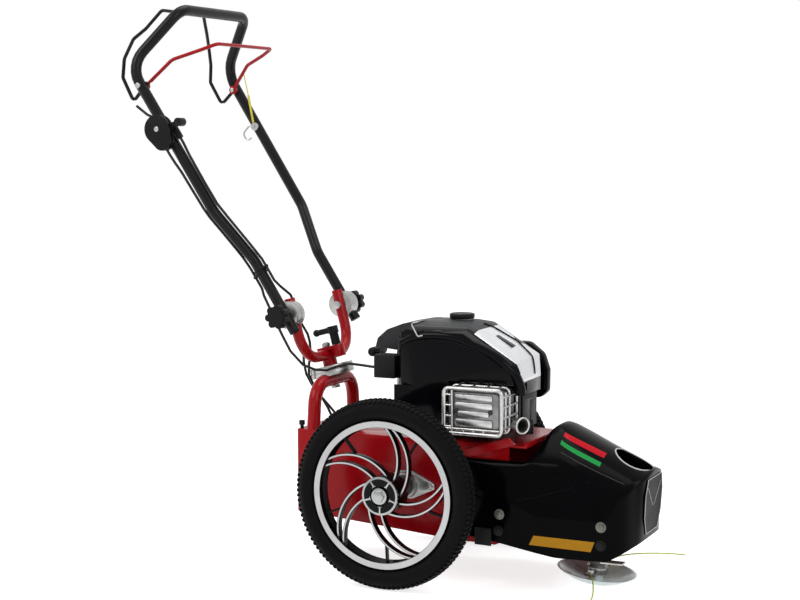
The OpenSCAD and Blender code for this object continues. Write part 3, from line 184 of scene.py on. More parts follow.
@dataclass(frozen=True)
class Finish:
    """A surface finish: its colour, gloss and grain."""

    name: str
    slot: str
    colour: Triple
    roughness: float
    metallic: float = 0.0
    coat: float = 0.0
    specular: float = 0.5
    tone: float = 0.12
    patch: float = 14.0
    grain: Grain = Grain.PEEL
    grain_scale: float = 900.0
    depth: float = 0.05
    wear: float = 0.0
    sheen: float = 0.0
    coat_roughness: float = 0.08
    worn_edges: tuple[float, float] = (0.53, 0.68)
    grain_height: float = 0.001

    def made(self) -> bpy.types.Material:
        """Makes the material on first use, and gives the same one after that.

        Returns:
            The material.
        """
        found = bpy.data.materials.get(self.name)
        if found:
            return found
        material = bpy.data.materials.new(self.name)
        material.use_nodes = True
        tree = material.node_tree
        shader = tree.nodes["Principled BSDF"]
        feed(tree, shader, {"Metallic": self.metallic, "Coat Weight": self.coat,
                            "Coat Roughness": self.coat_roughness, "Specular IOR Level": self.specular,
                            "Sheen Weight": self.sheen})
        place = added(tree, "TexCoord", {}).outputs["Object"]
        self.paint(tree, place, shader)
        self.roughen(tree, place, shader)
        return material

    def paint(self, tree: Tree, place: Socket, shader: bpy.types.Node) -> None:
        """Gives the shader a colour and a gloss that wander a little over the surface.

        Args:
            tree: The material's nodes.
            place: Object coordinates.
            shader: The surface shader.
        """
        cloud = added(tree, "TexNoise", {"Vector": place, "Scale": self.patch, "Detail": 5.0}).outputs["Fac"]
        ramp = added(tree, "ValToRGB", {"Fac": cloud})
        for i, (spot, share) in enumerate(((0.3, 1 - self.tone), (0.72, 1 + self.tone))):
            ramp.color_ramp.elements[i].position = spot
            ramp.color_ramp.elements[i].color = (*[min(1, c * share) for c in self.colour], 1)
        colour = ramp.outputs["Color"]
        gloss = added(tree, "MapRange", {
            "Value": cloud, "From Min": 0.3, "From Max": 0.7,
            "To Min": self.roughness * 0.8, "To Max": min(1.0, self.roughness * 1.2)})
        feed(tree, shader, {"Base Color": self.worn(tree, colour) if self.wear else colour,
                            "Roughness": gloss.outputs["Result"]})

    def worn(self, tree: Tree, colour: Socket) -> Socket:
        """Lightens the colour along the edges, as handling does.

        Args:
            tree: The material's nodes.
            colour: The colour before wear.

        Returns:
            The colour with wear.
        """
        edge = added(tree, "NewGeometry", {}).outputs["Pointiness"]
        low, high = self.worn_edges
        share = added(tree, "MapRange", {
            "Value": edge, "From Min": low, "From Max": high, "To Max": self.wear})
        return mixed(tree, share.outputs["Result"], colour, [min(1, c * 1.8 + 0.05) for c in self.colour])

    def roughen(self, tree: Tree, place: Socket, shader: bpy.types.Node) -> None:
        """Raises the grain of the surface.

        Args:
            tree: The material's nodes.
            place: Object coordinates.
            shader: The surface shader.
        """
        if self.grain is Grain.BRUSHED:
            place = added(tree, "Mapping", {"Vector": place, "Scale": (1.0, 0.05, 1.0)}).outputs["Vector"]
        spots = {"Vector": place, "Scale": self.grain_scale}
        if self.grain is Grain.PEBBLE:
            height = added(tree, "TexVoronoi", spots | {"Randomness": 1.0}, feature="F1").outputs["Distance"]
        elif self.grain is Grain.MESH:
            cells = added(tree, "TexVoronoi", spots | {"Randomness": 0.0}, feature="DISTANCE_TO_EDGE")
            height = cells.outputs["Distance"]
        else:
            fine = 6.0 if self.grain is Grain.CAST else 2.0
            height = added(tree, "TexNoise", spots | {"Detail": fine}).outputs["Fac"]
        bump = added(tree, "Bump", {
            "Strength": min(1.0, self.depth), "Distance": self.grain_height, "Height": height})
        feed(tree, shader, {"Normal": bump.outputs["Normal"]})


RED = Finish("red_gloss_paint", "red_paint", (0.38, 0.0032, 0.007), 0.26, coat=0.06, specular=0.14, tone=0.08,
             wear=0.2)
ZINC = Finish("zinc_plate", "zinc", (0.38, 0.38, 0.37), 0.34, metallic=1.0, tone=0.2, patch=40.0,
              grain=Grain.BRUSHED, grain_scale=1500.0, depth=0.12)
BOLT = Finish("bolt_dull_zinc", "zinc", (0.13, 0.13, 0.11), 0.42, metallic=0.9, tone=0.25, patch=90.0,
              grain=Grain.CAST, grain_scale=900.0, depth=0.15)
IRON = Finish("cast_grey_iron", "cast_grey", (0.11, 0.115, 0.12), 0.55, metallic=0.7, tone=0.25,
              grain=Grain.CAST, grain_scale=500.0, depth=0.3)
STOVED = Finish("stoved_black_iron", "cast_grey", (0.008, 0.008, 0.009), 0.5, specular=0.2, tone=0.25,
                grain=Grain.CAST, grain_scale=500.0, depth=0.3)
BELT = Finish("belt_rubber", "belt", (0.02, 0.02, 0.02), 0.8, specular=0.3, grain_scale=700.0, depth=0.2)
GLOSS = Finish("gloss_black_moulding", "gloss_black", (0.0014, 0.0014, 0.002), 0.12, specular=0.03,
               tone=0.2, grain_scale=260.0, depth=0.02)
ENAMEL = Finish("engine_gloss_black", "gloss_black", (0.0022, 0.0024, 0.0034), 0.14, specular=0.08, tone=0.2,
                grain_scale=260.0, depth=0.02)
GRAINED = Finish("grained_black_moulding", "grained_black", (0.005, 0.005, 0.0056), 0.48, specular=0.14,
                 tone=0.2, grain=Grain.PEBBLE, grain_scale=900.0, depth=0.25, wear=0.25)
COVER = Finish("meshed_grey_black_cover", "grained_black", (0.018, 0.019, 0.021), 0.5, specular=0.25,
               tone=0.2, grain=Grain.MESH, grain_scale=330.0, depth=0.9)
SILVER = Finish("silver_lacquer", "silver_paint", (0.74, 0.75, 0.77), 0.26, metallic=0.4, coat=0.4,
                tone=0.08, grain_scale=2400.0, depth=0.08)
TANK = Finish("milky_tank_plastic", "tank", (0.62, 0.62, 0.57), 0.5, tone=0.08, grain_scale=500.0)
CAST = Finish("bright_cast_alloy", "bright_cast", (0.50, 0.50, 0.49), 0.3, metallic=0.95, tone=0.25,
              patch=30.0, grain=Grain.CAST, grain_scale=420.0, depth=0.25)
SOOT = Finish("sooted_steel", "bright_cast", (0.030, 0.029, 0.028), 0.55, metallic=0.5, tone=0.4,
              patch=60.0, grain=Grain.CAST, grain_scale=400.0, depth=0.3)
CAN = Finish("dull_pressed_steel", "bright_cast", (0.24, 0.243, 0.248), 0.4, metallic=0.8, tone=0.4,
             patch=45.0, grain=Grain.CAST, grain_scale=400.0, depth=0.25)
TYRE = Finish("tyre_rubber", "tyre", (0.0032, 0.0032, 0.0038), 0.6, specular=0.06, tone=0.3, patch=30.0,
              grain=Grain.CAST, grain_scale=420.0, depth=0.3, sheen=0.02)
RIM = Finish("rim_satin_black", "rim_black", (0.003, 0.003, 0.0035), 0.3, specular=0.1, tone=0.15,
             grain_scale=500.0, depth=0.05)
MACHINED = Finish("rim_machined_face", "rim_black", (0.38, 0.38, 0.385), 0.25, metallic=1.0, tone=0.1,
                  patch=30.0, grain=Grain.BRUSHED, grain_scale=1800.0, depth=0.06)
HUB = Finish("hub_machined_alloy", "rim_silver", (0.34, 0.35, 0.35), 0.25, metallic=1.0, tone=0.12,
             patch=40.0, grain=Grain.BRUSHED, grain_scale=1600.0, depth=0.08)
BOWL = Finish("bowl_pale_alloy", "bowl", (0.78, 0.86, 0.86), 0.3, metallic=0.3, tone=0.06, patch=25.0,
              grain_scale=300.0, depth=0.06)
LINE = Finish("line_yellow_green", "line", (0.55, 0.66, 0.05), 0.3, tone=0.15, patch=200.0)
BLACK = Finish("bar_satin_black_paint", "black_paint", (0.004, 0.004, 0.0045), 0.3, specular=0.16,
               tone=0.2, grain_scale=800.0, depth=0.06, wear=0.15)
CABLE = Finish("cable_black_sleeve", "cable", (0.008, 0.008, 0.008), 0.45, specular=0.25, tone=0.2,
               patch=80.0, grain_scale=1200.0, depth=0.08)
SLEEVE = Finish("sleeve_yellow", "sleeve", (0.72, 0.62, 0.04), 0.4, tone=0.12, patch=90.0)
GREY = Finish("grey_moulding", "grey_plastic", (0.20, 0.205, 0.21), 0.45, tone=0.12,
              grain=Grain.PEBBLE, grain_scale=900.0, depth=0.15)
AMBER = Finish("amber_strip", "gloss_black", (0.44, 0.205, 0.009), 0.35, specular=0.12, tone=0.06, patch=60.0)


def deselect() -> None:
    """Clears the selection, which the frame's import leaves full."""
    bpy.ops.object.select_all(action="DESELECT")


def take(piece: Piece) -> Piece:
    """Selects one piece alone and makes it the active one.

    Args:
        piece: The piece.

    Returns:
        The same piece.
    """
    deselect()
    piece.select_set(True)
    bpy.context.view_layer.objects.active = piece
    return piece


def newest(name: str) -> Piece:
    """Names the primitive that was just added.

    Args:
        name: Its name.

    Returns:
        The piece.
    """
    piece = bpy.context.object
    piece.name = name
    piece.data.name = name
    return piece


def settle(piece: Piece) -> Piece:
    """Puts a piece's place, turn and size into its mesh.

    Args:
        piece: The piece.

    Returns:
        The same piece.
    """
    take(piece)
    bpy.ops.object.transform_apply(location=True, rotation=True, scale=True)
    return piece


@contextmanager
def editing(piece: Piece, whole: bool = True) -> Iterator[None]:
    """Opens a piece's mesh for editing, and closes it afterwards.

    Args:
        piece: The piece.
        whole: Whether all of it is selected first. If not, the selection stays as it is.

    Yields:
        Nothing.
    """
    take(piece)
    bpy.ops.object.mode_set(mode="EDIT")
    if whole:
        bpy.ops.mesh.select_all(action="SELECT")
    yield
    bpy.ops.object.mode_set(mode="OBJECT")


def shaped(piece: Piece, kind: str, **settings: object) -> None:
    """Shapes a piece's mesh with a modifier.

    Args:
        piece: The piece.
        kind: The modifier's kind.
        settings: The modifier's settings.
    """
    take(piece)
    modifier = piece.modifiers.new(kind.lower(), kind)
    for name, value in settings.items():
        setattr(modifier, name, value)
    bpy.ops.object.modifier_apply(modifier=modifier.name)


def bevelled(piece: Piece, width: float, segments: int = 2, angle: float = 32.0) -> None:
    """Rounds a piece's sharp edges.

    Args:
        piece: The piece.
        width: The round's width in metres.
        segments: Facets in the round.
        angle: Edges sharper than this many degrees are rounded.
    """
    shaped(piece, "BEVEL", width=width, segments=segments, limit_method="ANGLE",
           angle_limit=math.radians(angle))


def smooth(piece: Piece, angle: float = 35.0) -> Piece:
    """Shades a piece smooth up to an angle, in degrees, and gives it back."""
    take(piece)
    bpy.ops.object.shade_smooth_by_angle(angle=math.radians(angle))
    return piece


def skin_of(node: str, width: float, segments: int, angle: float) -> Piece:
    """Copies a solid of the frame, merges its loose triangles and rounds its edges.

    Args:
        node: The solid's name.
        width: The round's width in metres, or 0 for none.
        segments: Facets in the round.
        angle: The largest angle that is shaded smooth, in degrees.

    Returns:
        The copy.
    """
    source = frame["nodes"][node]
    piece = source.copy()
    piece.data = source.data.copy()
    piece.name = f"{node}_skin"
    piece.parent = None
    for key in [k for k in piece.keys() if k.startswith("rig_")]:
        del piece[key]
    bpy.context.scene.collection.objects.link(piece)
    piece.data.materials.clear()
    take(piece)
    if piece.data.has_custom_normals:
        bpy.ops.mesh.customdata_custom_splitnormals_clear()
    with editing(piece):
        bpy.ops.mesh.remove_doubles(threshold=WELD)
        if width:
            bpy.ops.mesh.dissolve_limited(angle_limit=math.radians(FLAT))
    if width:
        bevelled(piece, width, segments)
    smooth(piece, angle)
    return piece


def dress(piece: Piece, finish: Finish) -> None:
    """Gives a piece one finish all over."""
    piece.data.materials.clear()
    piece.data.materials.append(finish.made())


def mount(piece: Piece, body: str, finish: Finish, *nodes: str) -> Piece:
    """Dresses a piece, fixes it to a body and hides the solids that it stands for.

    Args:
        piece: The piece.
        body: The body that it moves with.
        finish: Its main finish.
        nodes: The solids that it stands for.

    Returns:
        The same piece.
    """
    dress(piece, finish)
    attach(piece, body)
    if nodes:
        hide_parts(*nodes)
    log.info("%s on %s", piece.name, body)
    return piece


def tinted(piece: Piece, finish: Finish, where: Callable[[bpy.types.MeshPolygon], bool]) -> None:
    """Gives the faces that pass a test a second finish."""
    piece.data.materials.append(finish.made())
    for face in piece.data.polygons:
        face.material_index = int(where(face))


def joined(pieces: list[Piece], name: str) -> Piece:
    """Makes one piece of several.

    Args:
        pieces: The pieces.
        name: The name of the whole.

    Returns:
        The whole.
    """
    deselect()
    for piece in pieces:
        piece.select_set(True)
    bpy.context.view_layer.objects.active = pieces[0]
    bpy.ops.object.join()
    pieces[0].name = name
    return pieces[0]


def copied(piece: Piece, change: Matrix) -> Piece:
    """Copies a piece with its own mesh, and moves the copy.

    Args:
        piece: The piece.
        change: The move, put into the copy's mesh.

    Returns:
        The copy.
    """
    twin = piece.copy()
    twin.data = piece.data.copy()
    twin.data.transform(change)
    bpy.context.scene.collection.objects.link(twin)
    return twin


def block(name: str, middle: Vector, size: Triple, width: float, turn: Triple = (0, 0, 0),
          segments: int = 2) -> Piece:
    """Makes a box with rounded edges.

    Args:
        name: The piece's name.
        middle: Its middle.
        size: Its three sizes in metres.
        width: The round's width in metres.
        turn: Its turn.
        segments: Facets in the round.

    Returns:
        The piece.
    """
    deselect()
    bpy.ops.mesh.primitive_cube_add(size=1.0, location=middle, rotation=turn)
    piece = newest(name)
    piece.scale = size
    bevelled(settle(piece), width, segments)
    return piece


def cylinder(name: str, middle: Vector, radius: float, length: float, turn: Triple, sides: int = 72) -> Piece:
    """Makes a round bar or disc.

    Args:
        name: The piece's name.
        middle: Its middle.
        radius: Its radius in metres.
        length: Its length in metres.
        turn: Its turn from standing upright.
        sides: Facets round it.

    Returns:
        The piece.
    """
    deselect()
    bpy.ops.mesh.primitive_cylinder_add(vertices=sides, radius=radius, depth=length, location=middle,
                                        rotation=turn)
    return settle(newest(name))


def hoop(name: str, middle: Vector, radius: float, thick: float, facets: tuple[int, int],
         turn: Triple, stretch: float = 1.0) -> Piece:
    """Makes a round ring.

    Args:
        name: The piece's name.
        middle: Its middle.
        radius: The radius of the ring's middle line, in metres.
        thick: The radius of the ring's section, in metres.
        facets: Facets round the ring and round its section.
        turn: Its turn from lying flat.
        stretch: How much deeper its section is along the ring's axis than across it.

    Returns:
        The piece.
    """
    deselect()
    bpy.ops.mesh.primitive_torus_add(major_radius=radius, minor_radius=thick, major_segments=facets[0],
                                     minor_segments=facets[1], location=middle, rotation=turn)
    piece = newest(name)
    piece.scale = (1, 1, stretch)
    return settle(piece)


def prism(name: str, corners: list[Vector], push: Triple, width: float) -> Piece:
    """Makes a thin plate from its outline.

    Args:
        name: The piece's name.
        corners: The outline.
        push: The way from the outline to the plate's other face, in metres.
        width: The width of its rounded edges in metres.

    Returns:
        The piece.
    """
    deselect()
    bpy.ops.mesh.primitive_circle_add(vertices=len(corners), fill_type="NGON")
    piece = newest(name)
    for vertex, place in zip(piece.data.vertices, corners):
        vertex.co = place
    with editing(piece):
        bpy.ops.mesh.extrude_region_move(TRANSFORM_OT_translate={"value": push})
        bpy.ops.mesh.select_all(action="SELECT")
        bpy.ops.mesh.normals_make_consistent(inside=False)
    bevelled(piece, width, 1)
    return piece


def tube_along(name: str, line: list[Vector], thick: float, facets: int, closed: bool = False) -> Piece:
    """Runs a round curve along a line.

    Args:
        name: The piece's name.
        line: The line's points.
        thick: The curve's diameter in metres.
        facets: How finely its section is rounded.
        closed: Whether its ends meet.

    Returns:
        The piece.
    """
    curve = bpy.data.curves.new(name, "CURVE")
    curve.dimensions = "3D"
    curve.bevel_depth = thick / 2
    curve.bevel_resolution = facets
    curve.use_fill_caps = True
    spline = curve.splines.new("POLY")
    spline.points.add(len(line) - 1)
    spline.use_cyclic_u = closed
    for point, place in zip(spline.points, line):
        point.co = (*place, 1)
    piece = bpy.data.objects.new(name, curve)
    bpy.context.scene.collection.objects.link(piece)
    return piece


def bead(name: str, line: list[Vector], thick: float, closed: bool = False) -> Piece:
    """Runs a round bead along a line.

    Args:
        name: The piece's name.
        line: The line's points.
        thick: The bead's diameter in metres.
        closed: Whether its ends meet.

    Returns:
        The piece.
    """
    piece = tube_along(name, line, thick, 2, closed)
    take(piece)
    bpy.ops.object.convert(target="MESH")
    smooth(piece, ROUND)
    return piece


def curve_through(points: list[Vector], between: int) -> list[Vector]:
    """Runs a smooth line through points.

    Args:
        points: The points.
        between: Steps from each to the next.

    Returns:
        The line's points.
    """
    ends = [2 * points[0] - points[1], *points, 2 * points[-1] - points[-2]]
    line = []
    for i in range(1, len(ends) - 2):
        a, b, c, d = ends[i - 1:i + 3]
        for k in range(between):
            t = k / between
            line.append(0.5 * (2 * b + (c - a) * t + (2 * a - 5 * b + 4 * c - d) * t * t
                               + (3 * b - a - 3 * c + d) * t ** 3))
    return [*line, points[-1]]


class Assembly:
    """A group of pieces that are made and dressed together."""

    def skin(self, node: str, finish: Finish, width: float = 0.0008, segments: int = 2,
             angle: float = 38.0) -> Piece:
        """Stands a rounded copy in the place of a solid.

        Args:
            node: The solid's name.
            finish: The copy's finish.
            width: The round's width in metres.
            segments: Facets in the round.
            angle: The largest angle that is shaded smooth, in degrees.

        Returns:
            The copy, on the solid's own body.
        """
        piece = skin_of(node, width, segments, angle)
        return mount(piece, frame["nodes"][node]["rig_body"], finish, node)

    def bend_skin(self, node: str, finish: Finish, ends: list[tuple[str, str, Vector, Vector]]) -> None:
        """Stands copies in the place of cables that bend across a joint, one for each cable.

        Args:
            node: The node that holds the cables.
            finish: Their finish.
            ends: Not used. For each cable, the two bodies and the points where its bending starts and ends.
        """
        whole = skin_of(node, 0.0, 1, ROUND)
        with editing(whole):
            bpy.ops.mesh.separate(type="LOOSE")
        strands = list(bpy.context.selected_objects)
        for i, strand in enumerate(strands):
            strand.name = f"{node}_{i + 1}"
            dress(strand, finish)
            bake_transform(strand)
            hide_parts(node)


@dataclass
class Wheel(Assembly):
    """A wheel: knobbed tyre, two-tone rim and hub."""

    side: str
    y: float
    outer: float = 0.200
    half_width: float = 0.024
    bead: float = 0.1545
    bead_rings: Run = ((0.1645, 0.017), (0.181, 0.0212))
    ring_thick: float = 0.0018
    tread_rise: float = 0.003
    tread: tuple[tuple[float, float, Triple, float, float], ...] = (
        (0.0, 0.1962, (0.0064, 0.013, 0.007), 0.0, 0.0),
        (0.0128, 0.1932, (0.0064, 0.011, 0.0075), -19.0, 0.5),
        (-0.0128, 0.1932, (0.0064, 0.011, 0.0075), 19.0, 0.5))
    lugs: int = 112
    lug_round: float = 0.0009
    dark_edge: float = 0.0008
    hub_radius: float = 0.040
    pad_reach: float = 0.0355
    pad_start: float = 0.0205
    pad_gap: float = 0.0036
    pad_thick: float = 0.0014
    pads: int = 5

    def middle(self) -> Vector:
        """Gives the wheel's middle."""
        return row(0, self.y, 200)

    def around(self, angle: float) -> Matrix:
        """Turns about the wheel's own axis by an angle in radians."""
        there = Matrix.Translation(self.middle())
        return there @ Matrix.Rotation(angle, 4, "Y") @ there.inverted()

    def carcass(self) -> Piece:
        """Makes the round body of the tyre with a bead ring on each wall.

        Returns:
            The piece.
        """
        thick = (self.outer - self.tread_rise - self.bead) / 2
        body = hoop("carcass", self.middle(), self.bead + thick, thick, (112, 24), SIDEWAYS,
                    self.half_width / thick)
        rings = []
        for radius, out in [(r, way * y) for way in (-1, 1) for r, y in self.bead_rings]:
            at = self.middle() + Vector((0, out, 0))
            rings.append(hoop("bead_ring", at, radius, self.ring_thick, (96, 8), SIDEWAYS))
        return joined([body, *rings], "carcass")

    def tyre(self) -> None:
        """Sets three rows of blocks round the carcass."""
        pieces = [self.carcass()]
        step = 2 * math.pi / self.lugs
        for across, height, size, lean, shift in self.tread:
            first = block("lug", self.middle() + Vector((0, across, height)), size, self.lug_round,
                          (math.radians(lean), 0, math.radians(lean / 2)), 1)
            pieces += [copied(first, self.around((i + shift) * step)) for i in range(self.lugs)]
            bpy.data.objects.remove(first)
        tyre = joined(pieces, f"tread_tyre_{self.side}")
        smooth(tyre, 40.0)
        mount(tyre, f"wheel_{self.side}", TYRE, f"tyre_{self.side}")

    def rim(self) -> None:
        """Dresses the rim black, with bright faces on the outer side of its band and spokes."""
        node = f"rim_{self.side}"
        rim = self.skin(node, RIM, 0.0008)
        rim.data.materials.append(MACHINED.made())
        out = math.copysign(1.0, self.y)
        for face in rim.data.polygons:
            corners = [rim.data.vertices[i].co - self.middle() for i in face.vertices]
            radius = sum(math.hypot(c.x, c.z) for c in corners) / len(corners)
            proud = min(c.y * out for c in corners)
            bright = face.normal.y * out > 0.99 and proud > 0.006 and radius > self.hub_radius + 0.004
            face.material_index = int(bright)
            face.select = bright
        with editing(rim, False):
            bpy.ops.mesh.select_mode(type="FACE")
            bpy.ops.mesh.inset(thickness=self.dark_edge)
            bpy.ops.mesh.select_all(action="INVERT")
            rim.active_material_index = 0
            bpy.ops.object.material_slot_assign()

    def pad(self) -> Piece:
        """Cuts one dark pad of the hub, a sector of a disc round the wheel's axis.

        Returns:
            The piece, at the origin.
        """
        piece = cylinder("pad", Vector(), self.pad_reach, self.pad_thick, SIDEWAYS)
        half = math.pi / self.pads
        cuts = [(Vector((0, 0, self.pad_start)), Vector((0, 0, 1)))]
        for way in (-1, 1):
            inward = Vector((-way * math.cos(half), 0, math.sin(half)))
            cuts.append((inward * self.pad_gap / 2, inward))
        for point, normal in cuts:
            with editing(piece):
                bpy.ops.mesh.bisect(plane_co=point, plane_no=normal, use_fill=True, clear_inner=True)
        bevelled(piece, 0.0004, 1)
        return piece

    def hub(self) -> None:
        """Dresses the hub cap bright, with dark pads round its ring."""
        node = f"hub_cap_{self.side}"
        self.skin(node, HUB, 0.0006)
        out = math.copysign(1.0, self.y)
        face_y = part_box(node)[0 if out < 0 else 1].y + out * 0.0003
        there = Matrix.Translation(Vector((self.middle().x, face_y, self.middle().z)))
        first = self.pad()
        step = math.tau / self.pads
        pads = [copied(first, there @ Matrix.Rotation(i * step, 4, "Y")) for i in range(self.pads)]
        bpy.data.objects.remove(first)
        whole = joined(pads, f"hub_pads_{self.side}")
        smooth(whole)
        mount(whole, f"wheel_{self.side}", RIM)

    def build(self) -> None:
        """Makes and dresses the wheel."""
        self.tyre()
        self.rim()
        self.hub()


@dataclass
class Chassis(Assembly):
    """The red sheet frame with its arch, axle, gearbox and belts."""

    def build(self) -> None:
        """Makes and dresses the chassis."""
        self.skin("chassis_frame", RED, 0.0012)
        self.skin("steering_arch", RED, 0.0, angle=ROUND)
        self.skin("pivot_post", ZINC)
        self.skin("axle_bearings", ZINC)
        self.skin("axle", HUB, 0.0007)
        self.skin("gearbox", IRON, 0.002)
        self.skin("gear_pulley", IRON)
        self.skin("drive_belt", BELT, 0.0004)
        self.skin("head_belt", BELT, 0.0004)
        self.skin("rear_knob", GRAINED, 0.001)


@dataclass
class Engine(Assembly):
    """The engine: covers, guard, exhaust and the small parts round them."""

    cover_round: float = 0.005
    silver_side: float = 0.002
    guard_low: Triple = (100.0, -168.0, 322.0)
    guard_size: Triple = (136.0, 96.0, 102.0)
    frames: Path = ((4.5, 4.5, 0.009), (48, 4.0, 0.006), (92, 4.5, 0.006))
    tie_heights: tuple[float, ...] = (18, 40, 62, 84)
    tie_places: tuple[float, ...] = (24, 56, 88, 114)
    stub_places: tuple[float, ...] = (48, 70, 92)
    tie_ends: tuple[float, float] = (4.0, 92.0)
    tie_thick: float = 0.006
    face: float = 4.5
    rear_post: tuple[float, float] = (26.0, 10.0)
    front_post: tuple[float, float] = (22.0, 6.0)
    rail: float = 14.0
    bar_thick: float = 0.005
    corner: float = 15.0
    louvre_y: float = 8.0
    louvre_deep: float = 0.009
    louvre_round: float = 0.0042
    louvre_rows: tuple[tuple[float, float, float, float], ...] = (
        (80, 28, 112, 13), (63, 28, 112, 14), (46, 34, 104, 13), (27, 28, 112, 17))
    shoulder: Run = ((-22, 478), (5, 497), (55, 507), (120, 501))
    groove: Path = (
        (128, -1, 537.5), (150, -1, 530.5), (178, -1, 516.5), (205, -1, 502.3), (222, -1, 487.5),
        (238, -3, 473.0), (246, -12, 455.5), (252, -24, 440.0))
    shoulder_y: float = 117.6
    shoulder_thick: float = 0.005
    groove_thick: float = 0.0042
    roll_thick: float = 0.024
    roll: Path = (
        (-18, -98, 498), (15, -108, 513), (60, -109.5, 519), (105, -109.5, 516), (150, -109.5, 503),
        (190, -109.5, 486), (215, -109, 468), (236, -101, 444), (245, -95, 420), (247, -93, 404))
    slot: tuple[float, float, float, float] = (192.0, -40.0, 507.0, 28.0)
    slot_size: Triple = (0.044, 0.017, 0.003)
    mouth: Triple = (260.0, -116.0, 343.0)
    lip: tuple[float, float] = (0.0162, 0.0022)
    pipe_way: tuple[float, float] = (38.0, -23.0)
    pipe_start: float = 238.0
    handle: float = 0.024

    def covers(self) -> None:
        """Dresses the mouldings over the engine."""
        self.skin("blower_housing", ENAMEL, self.cover_round, 4)
        self.skin("top_cover", COVER, 0.004, 3)
        cowl = self.skin("front_cowl", SILVER, 0.004, 3)
        tinted(cowl, GLOSS, lambda face: face.center.y > self.silver_side)
        self.skin("air_box", GLOSS, 0.010, 4)
        self.skin("control_box", GRAINED, 0.002)
        self.skin("fuel_cap", GRAINED, 0.004, 4)
        self.skin("starter_grip", GRAINED, 0.002, 3)
        self.skin("fuel_tank", TANK, 0.003, 3)

    def in_guard(self, x: float, y: float, z: float) -> Vector:
        """Places a point of the muffler guard, in millimetres from its near lower rear corner."""
        return row(*[a + b for a, b in zip(self.guard_low, (x, y, z))])

    def ring(self, y: float, inset: float, thick: float) -> Piece:
        """Runs a bar round the guard as a rounded frame.

        Args:
            y: The frame's depth behind the guard's face, in millimetres.
            inset: How far it lies inside the guard's outline, in millimetres.
            thick: The bar's diameter in metres.

        Returns:
            The piece.
        """
        wide, _, high = self.guard_size
        bend = self.corner - inset
        points = []
        for way_x, way_z, start in ((1, 1, 0), (-1, 1, 90), (-1, -1, 180), (1, -1, 270)):
            x = wide / 2 + way_x * (wide / 2 - inset - bend)
            z = high / 2 + way_z * (high / 2 - inset - bend)
            for step in range(6):
                a = math.radians(start + step * 18)
                points.append(self.in_guard(x + bend * math.cos(a), y, z + bend * math.sin(a)))
        return bead("frame", points, thick, True)

    def guard(self) -> None:
        """Makes the cast muffler guard: rounded frames, ties, posts, louvres and the can inside."""
        wide, _, high = self.guard_size
        near, far = self.tie_ends
        back, end = self.rear_post
        post, inset = self.front_post
        face, rail = self.face, self.rail
        ties = [((x, near, high - near), (x, far, high - near)) for x in self.tie_places]
        rods = [((wide - near, back, end), (wide - near, back, high - end)),
                ((post, face, inset), (post, face, high - inset)),
                ((inset, face, rail), (wide - inset, face, rail))]
        for z in self.tie_heights:
            ties += [((x, near, z), (x, far, z)) for x in (wide - near, near)]
            rods.append(((5, face, z), (post, face, z)))
        rods += [((x, face, 5), (x, face, 13)) for x in self.stub_places]
        bars = [self.ring(*frame) for frame in self.frames]
        for runs, thick in ((ties, self.tie_thick), (rods, self.bar_thick)):
            bars += [bead("bar", [self.in_guard(*a), self.in_guard(*b)], thick) for a, b in runs]
        whole = joined(bars, "guard_frame")
        mount(whole, "chassis", CAST, "muffler_guard")
        self.louvres()
        self.can()

    def louvres(self) -> None:
        """Lays the rounded louvres across the guard's near face."""
        bars = []
        for z, x0, x1, tall in self.louvre_rows:
            size = ((x1 - x0) * MM, self.louvre_deep, tall * MM)
            middle = self.in_guard((x0 + x1) / 2, self.louvre_y, z)
            bars.append(smooth(block("louvre", middle, size, self.louvre_round)))
        whole = joined(bars, "guard_louvres")
        smooth(whole, 50.0)
        mount(whole, "chassis", CAST)

    def can(self) -> None:
        """Fills the guard with the dark can behind its grille, and gives the outlet its bright lip."""
        wide, deep, high = self.guard_size
        core = block("muffler_core", self.in_guard(wide / 2, deep / 2 + 4, high / 2),
                     ((wide - 16) * MM, (deep - 10) * MM, (high - 16) * MM), 0.010)
        mount(smooth(core), "chassis", CAN)
        lip = hoop("outlet_lip", row(*self.mouth), self.lip[0], self.lip[1], (48, 12),
                   (0, math.pi / 2, math.atan2(self.pipe_way[1], self.pipe_way[0])))
        smooth(lip, ROUND)
        mount(lip, "chassis", CAST)

    def trim(self) -> None:
        """Runs the moulded shoulder along the housing's walls, and the cowl's groove and slot."""
        near = bead("roll", curve_through([row(*p) for p in self.roll], 5), self.roll_thick)
        line = [row(x, self.shoulder_y, z) for x, z in self.shoulder]
        far = bead("shoulder", curve_through(line, 5), self.shoulder_thick)
        groove = bead("groove", curve_through([row(*p) for p in self.groove], 3), self.groove_thick)
        x, y, z, lean = self.slot
        plate = block("slot", row(x, y, z), self.slot_size, 0.0008, (0, math.radians(lean), 0))
        whole = joined([near, far, groove, plate], "housing_trim")
        mount(whole, "chassis", ENAMEL)

    def metal(self) -> None:
        """Dresses the cast and turned parts."""
        self.skin("engine_block", STOVED, 0.0008)
        self.skin("crankshaft", ZINC)
        self.skin("flywheel", IRON)
        muffler = self.skin("muffler", SOOT, 0.0006)
        mouth, along = row(*self.mouth), Vector((*self.pipe_way, 0)).normalized()
        start = row(self.pipe_start, 0, 0).x

        def outside(face: bpy.types.MeshPolygon) -> bool:
            """Tells whether a face is on the outer side of the exhaust pipe."""
            off = face.center - mouth
            across = (off - along * off.dot(along)).normalized()
            return face.center.x > start and across.dot(face.normal) > 0.5

        tinted(muffler, CAST, outside)
        self.skin("wire_clip", ZINC, 0.0, angle=ROUND)
        dipstick = self.skin("dipstick", GRAINED, 0.0012)
        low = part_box("dipstick")[1].z - self.handle
        tinted(dipstick, GREY, lambda face: face.center.z > low)

    def build(self) -> None:
        """Makes and dresses the engine."""
        self.covers()
        self.metal()
        self.guard()
        self.trim()


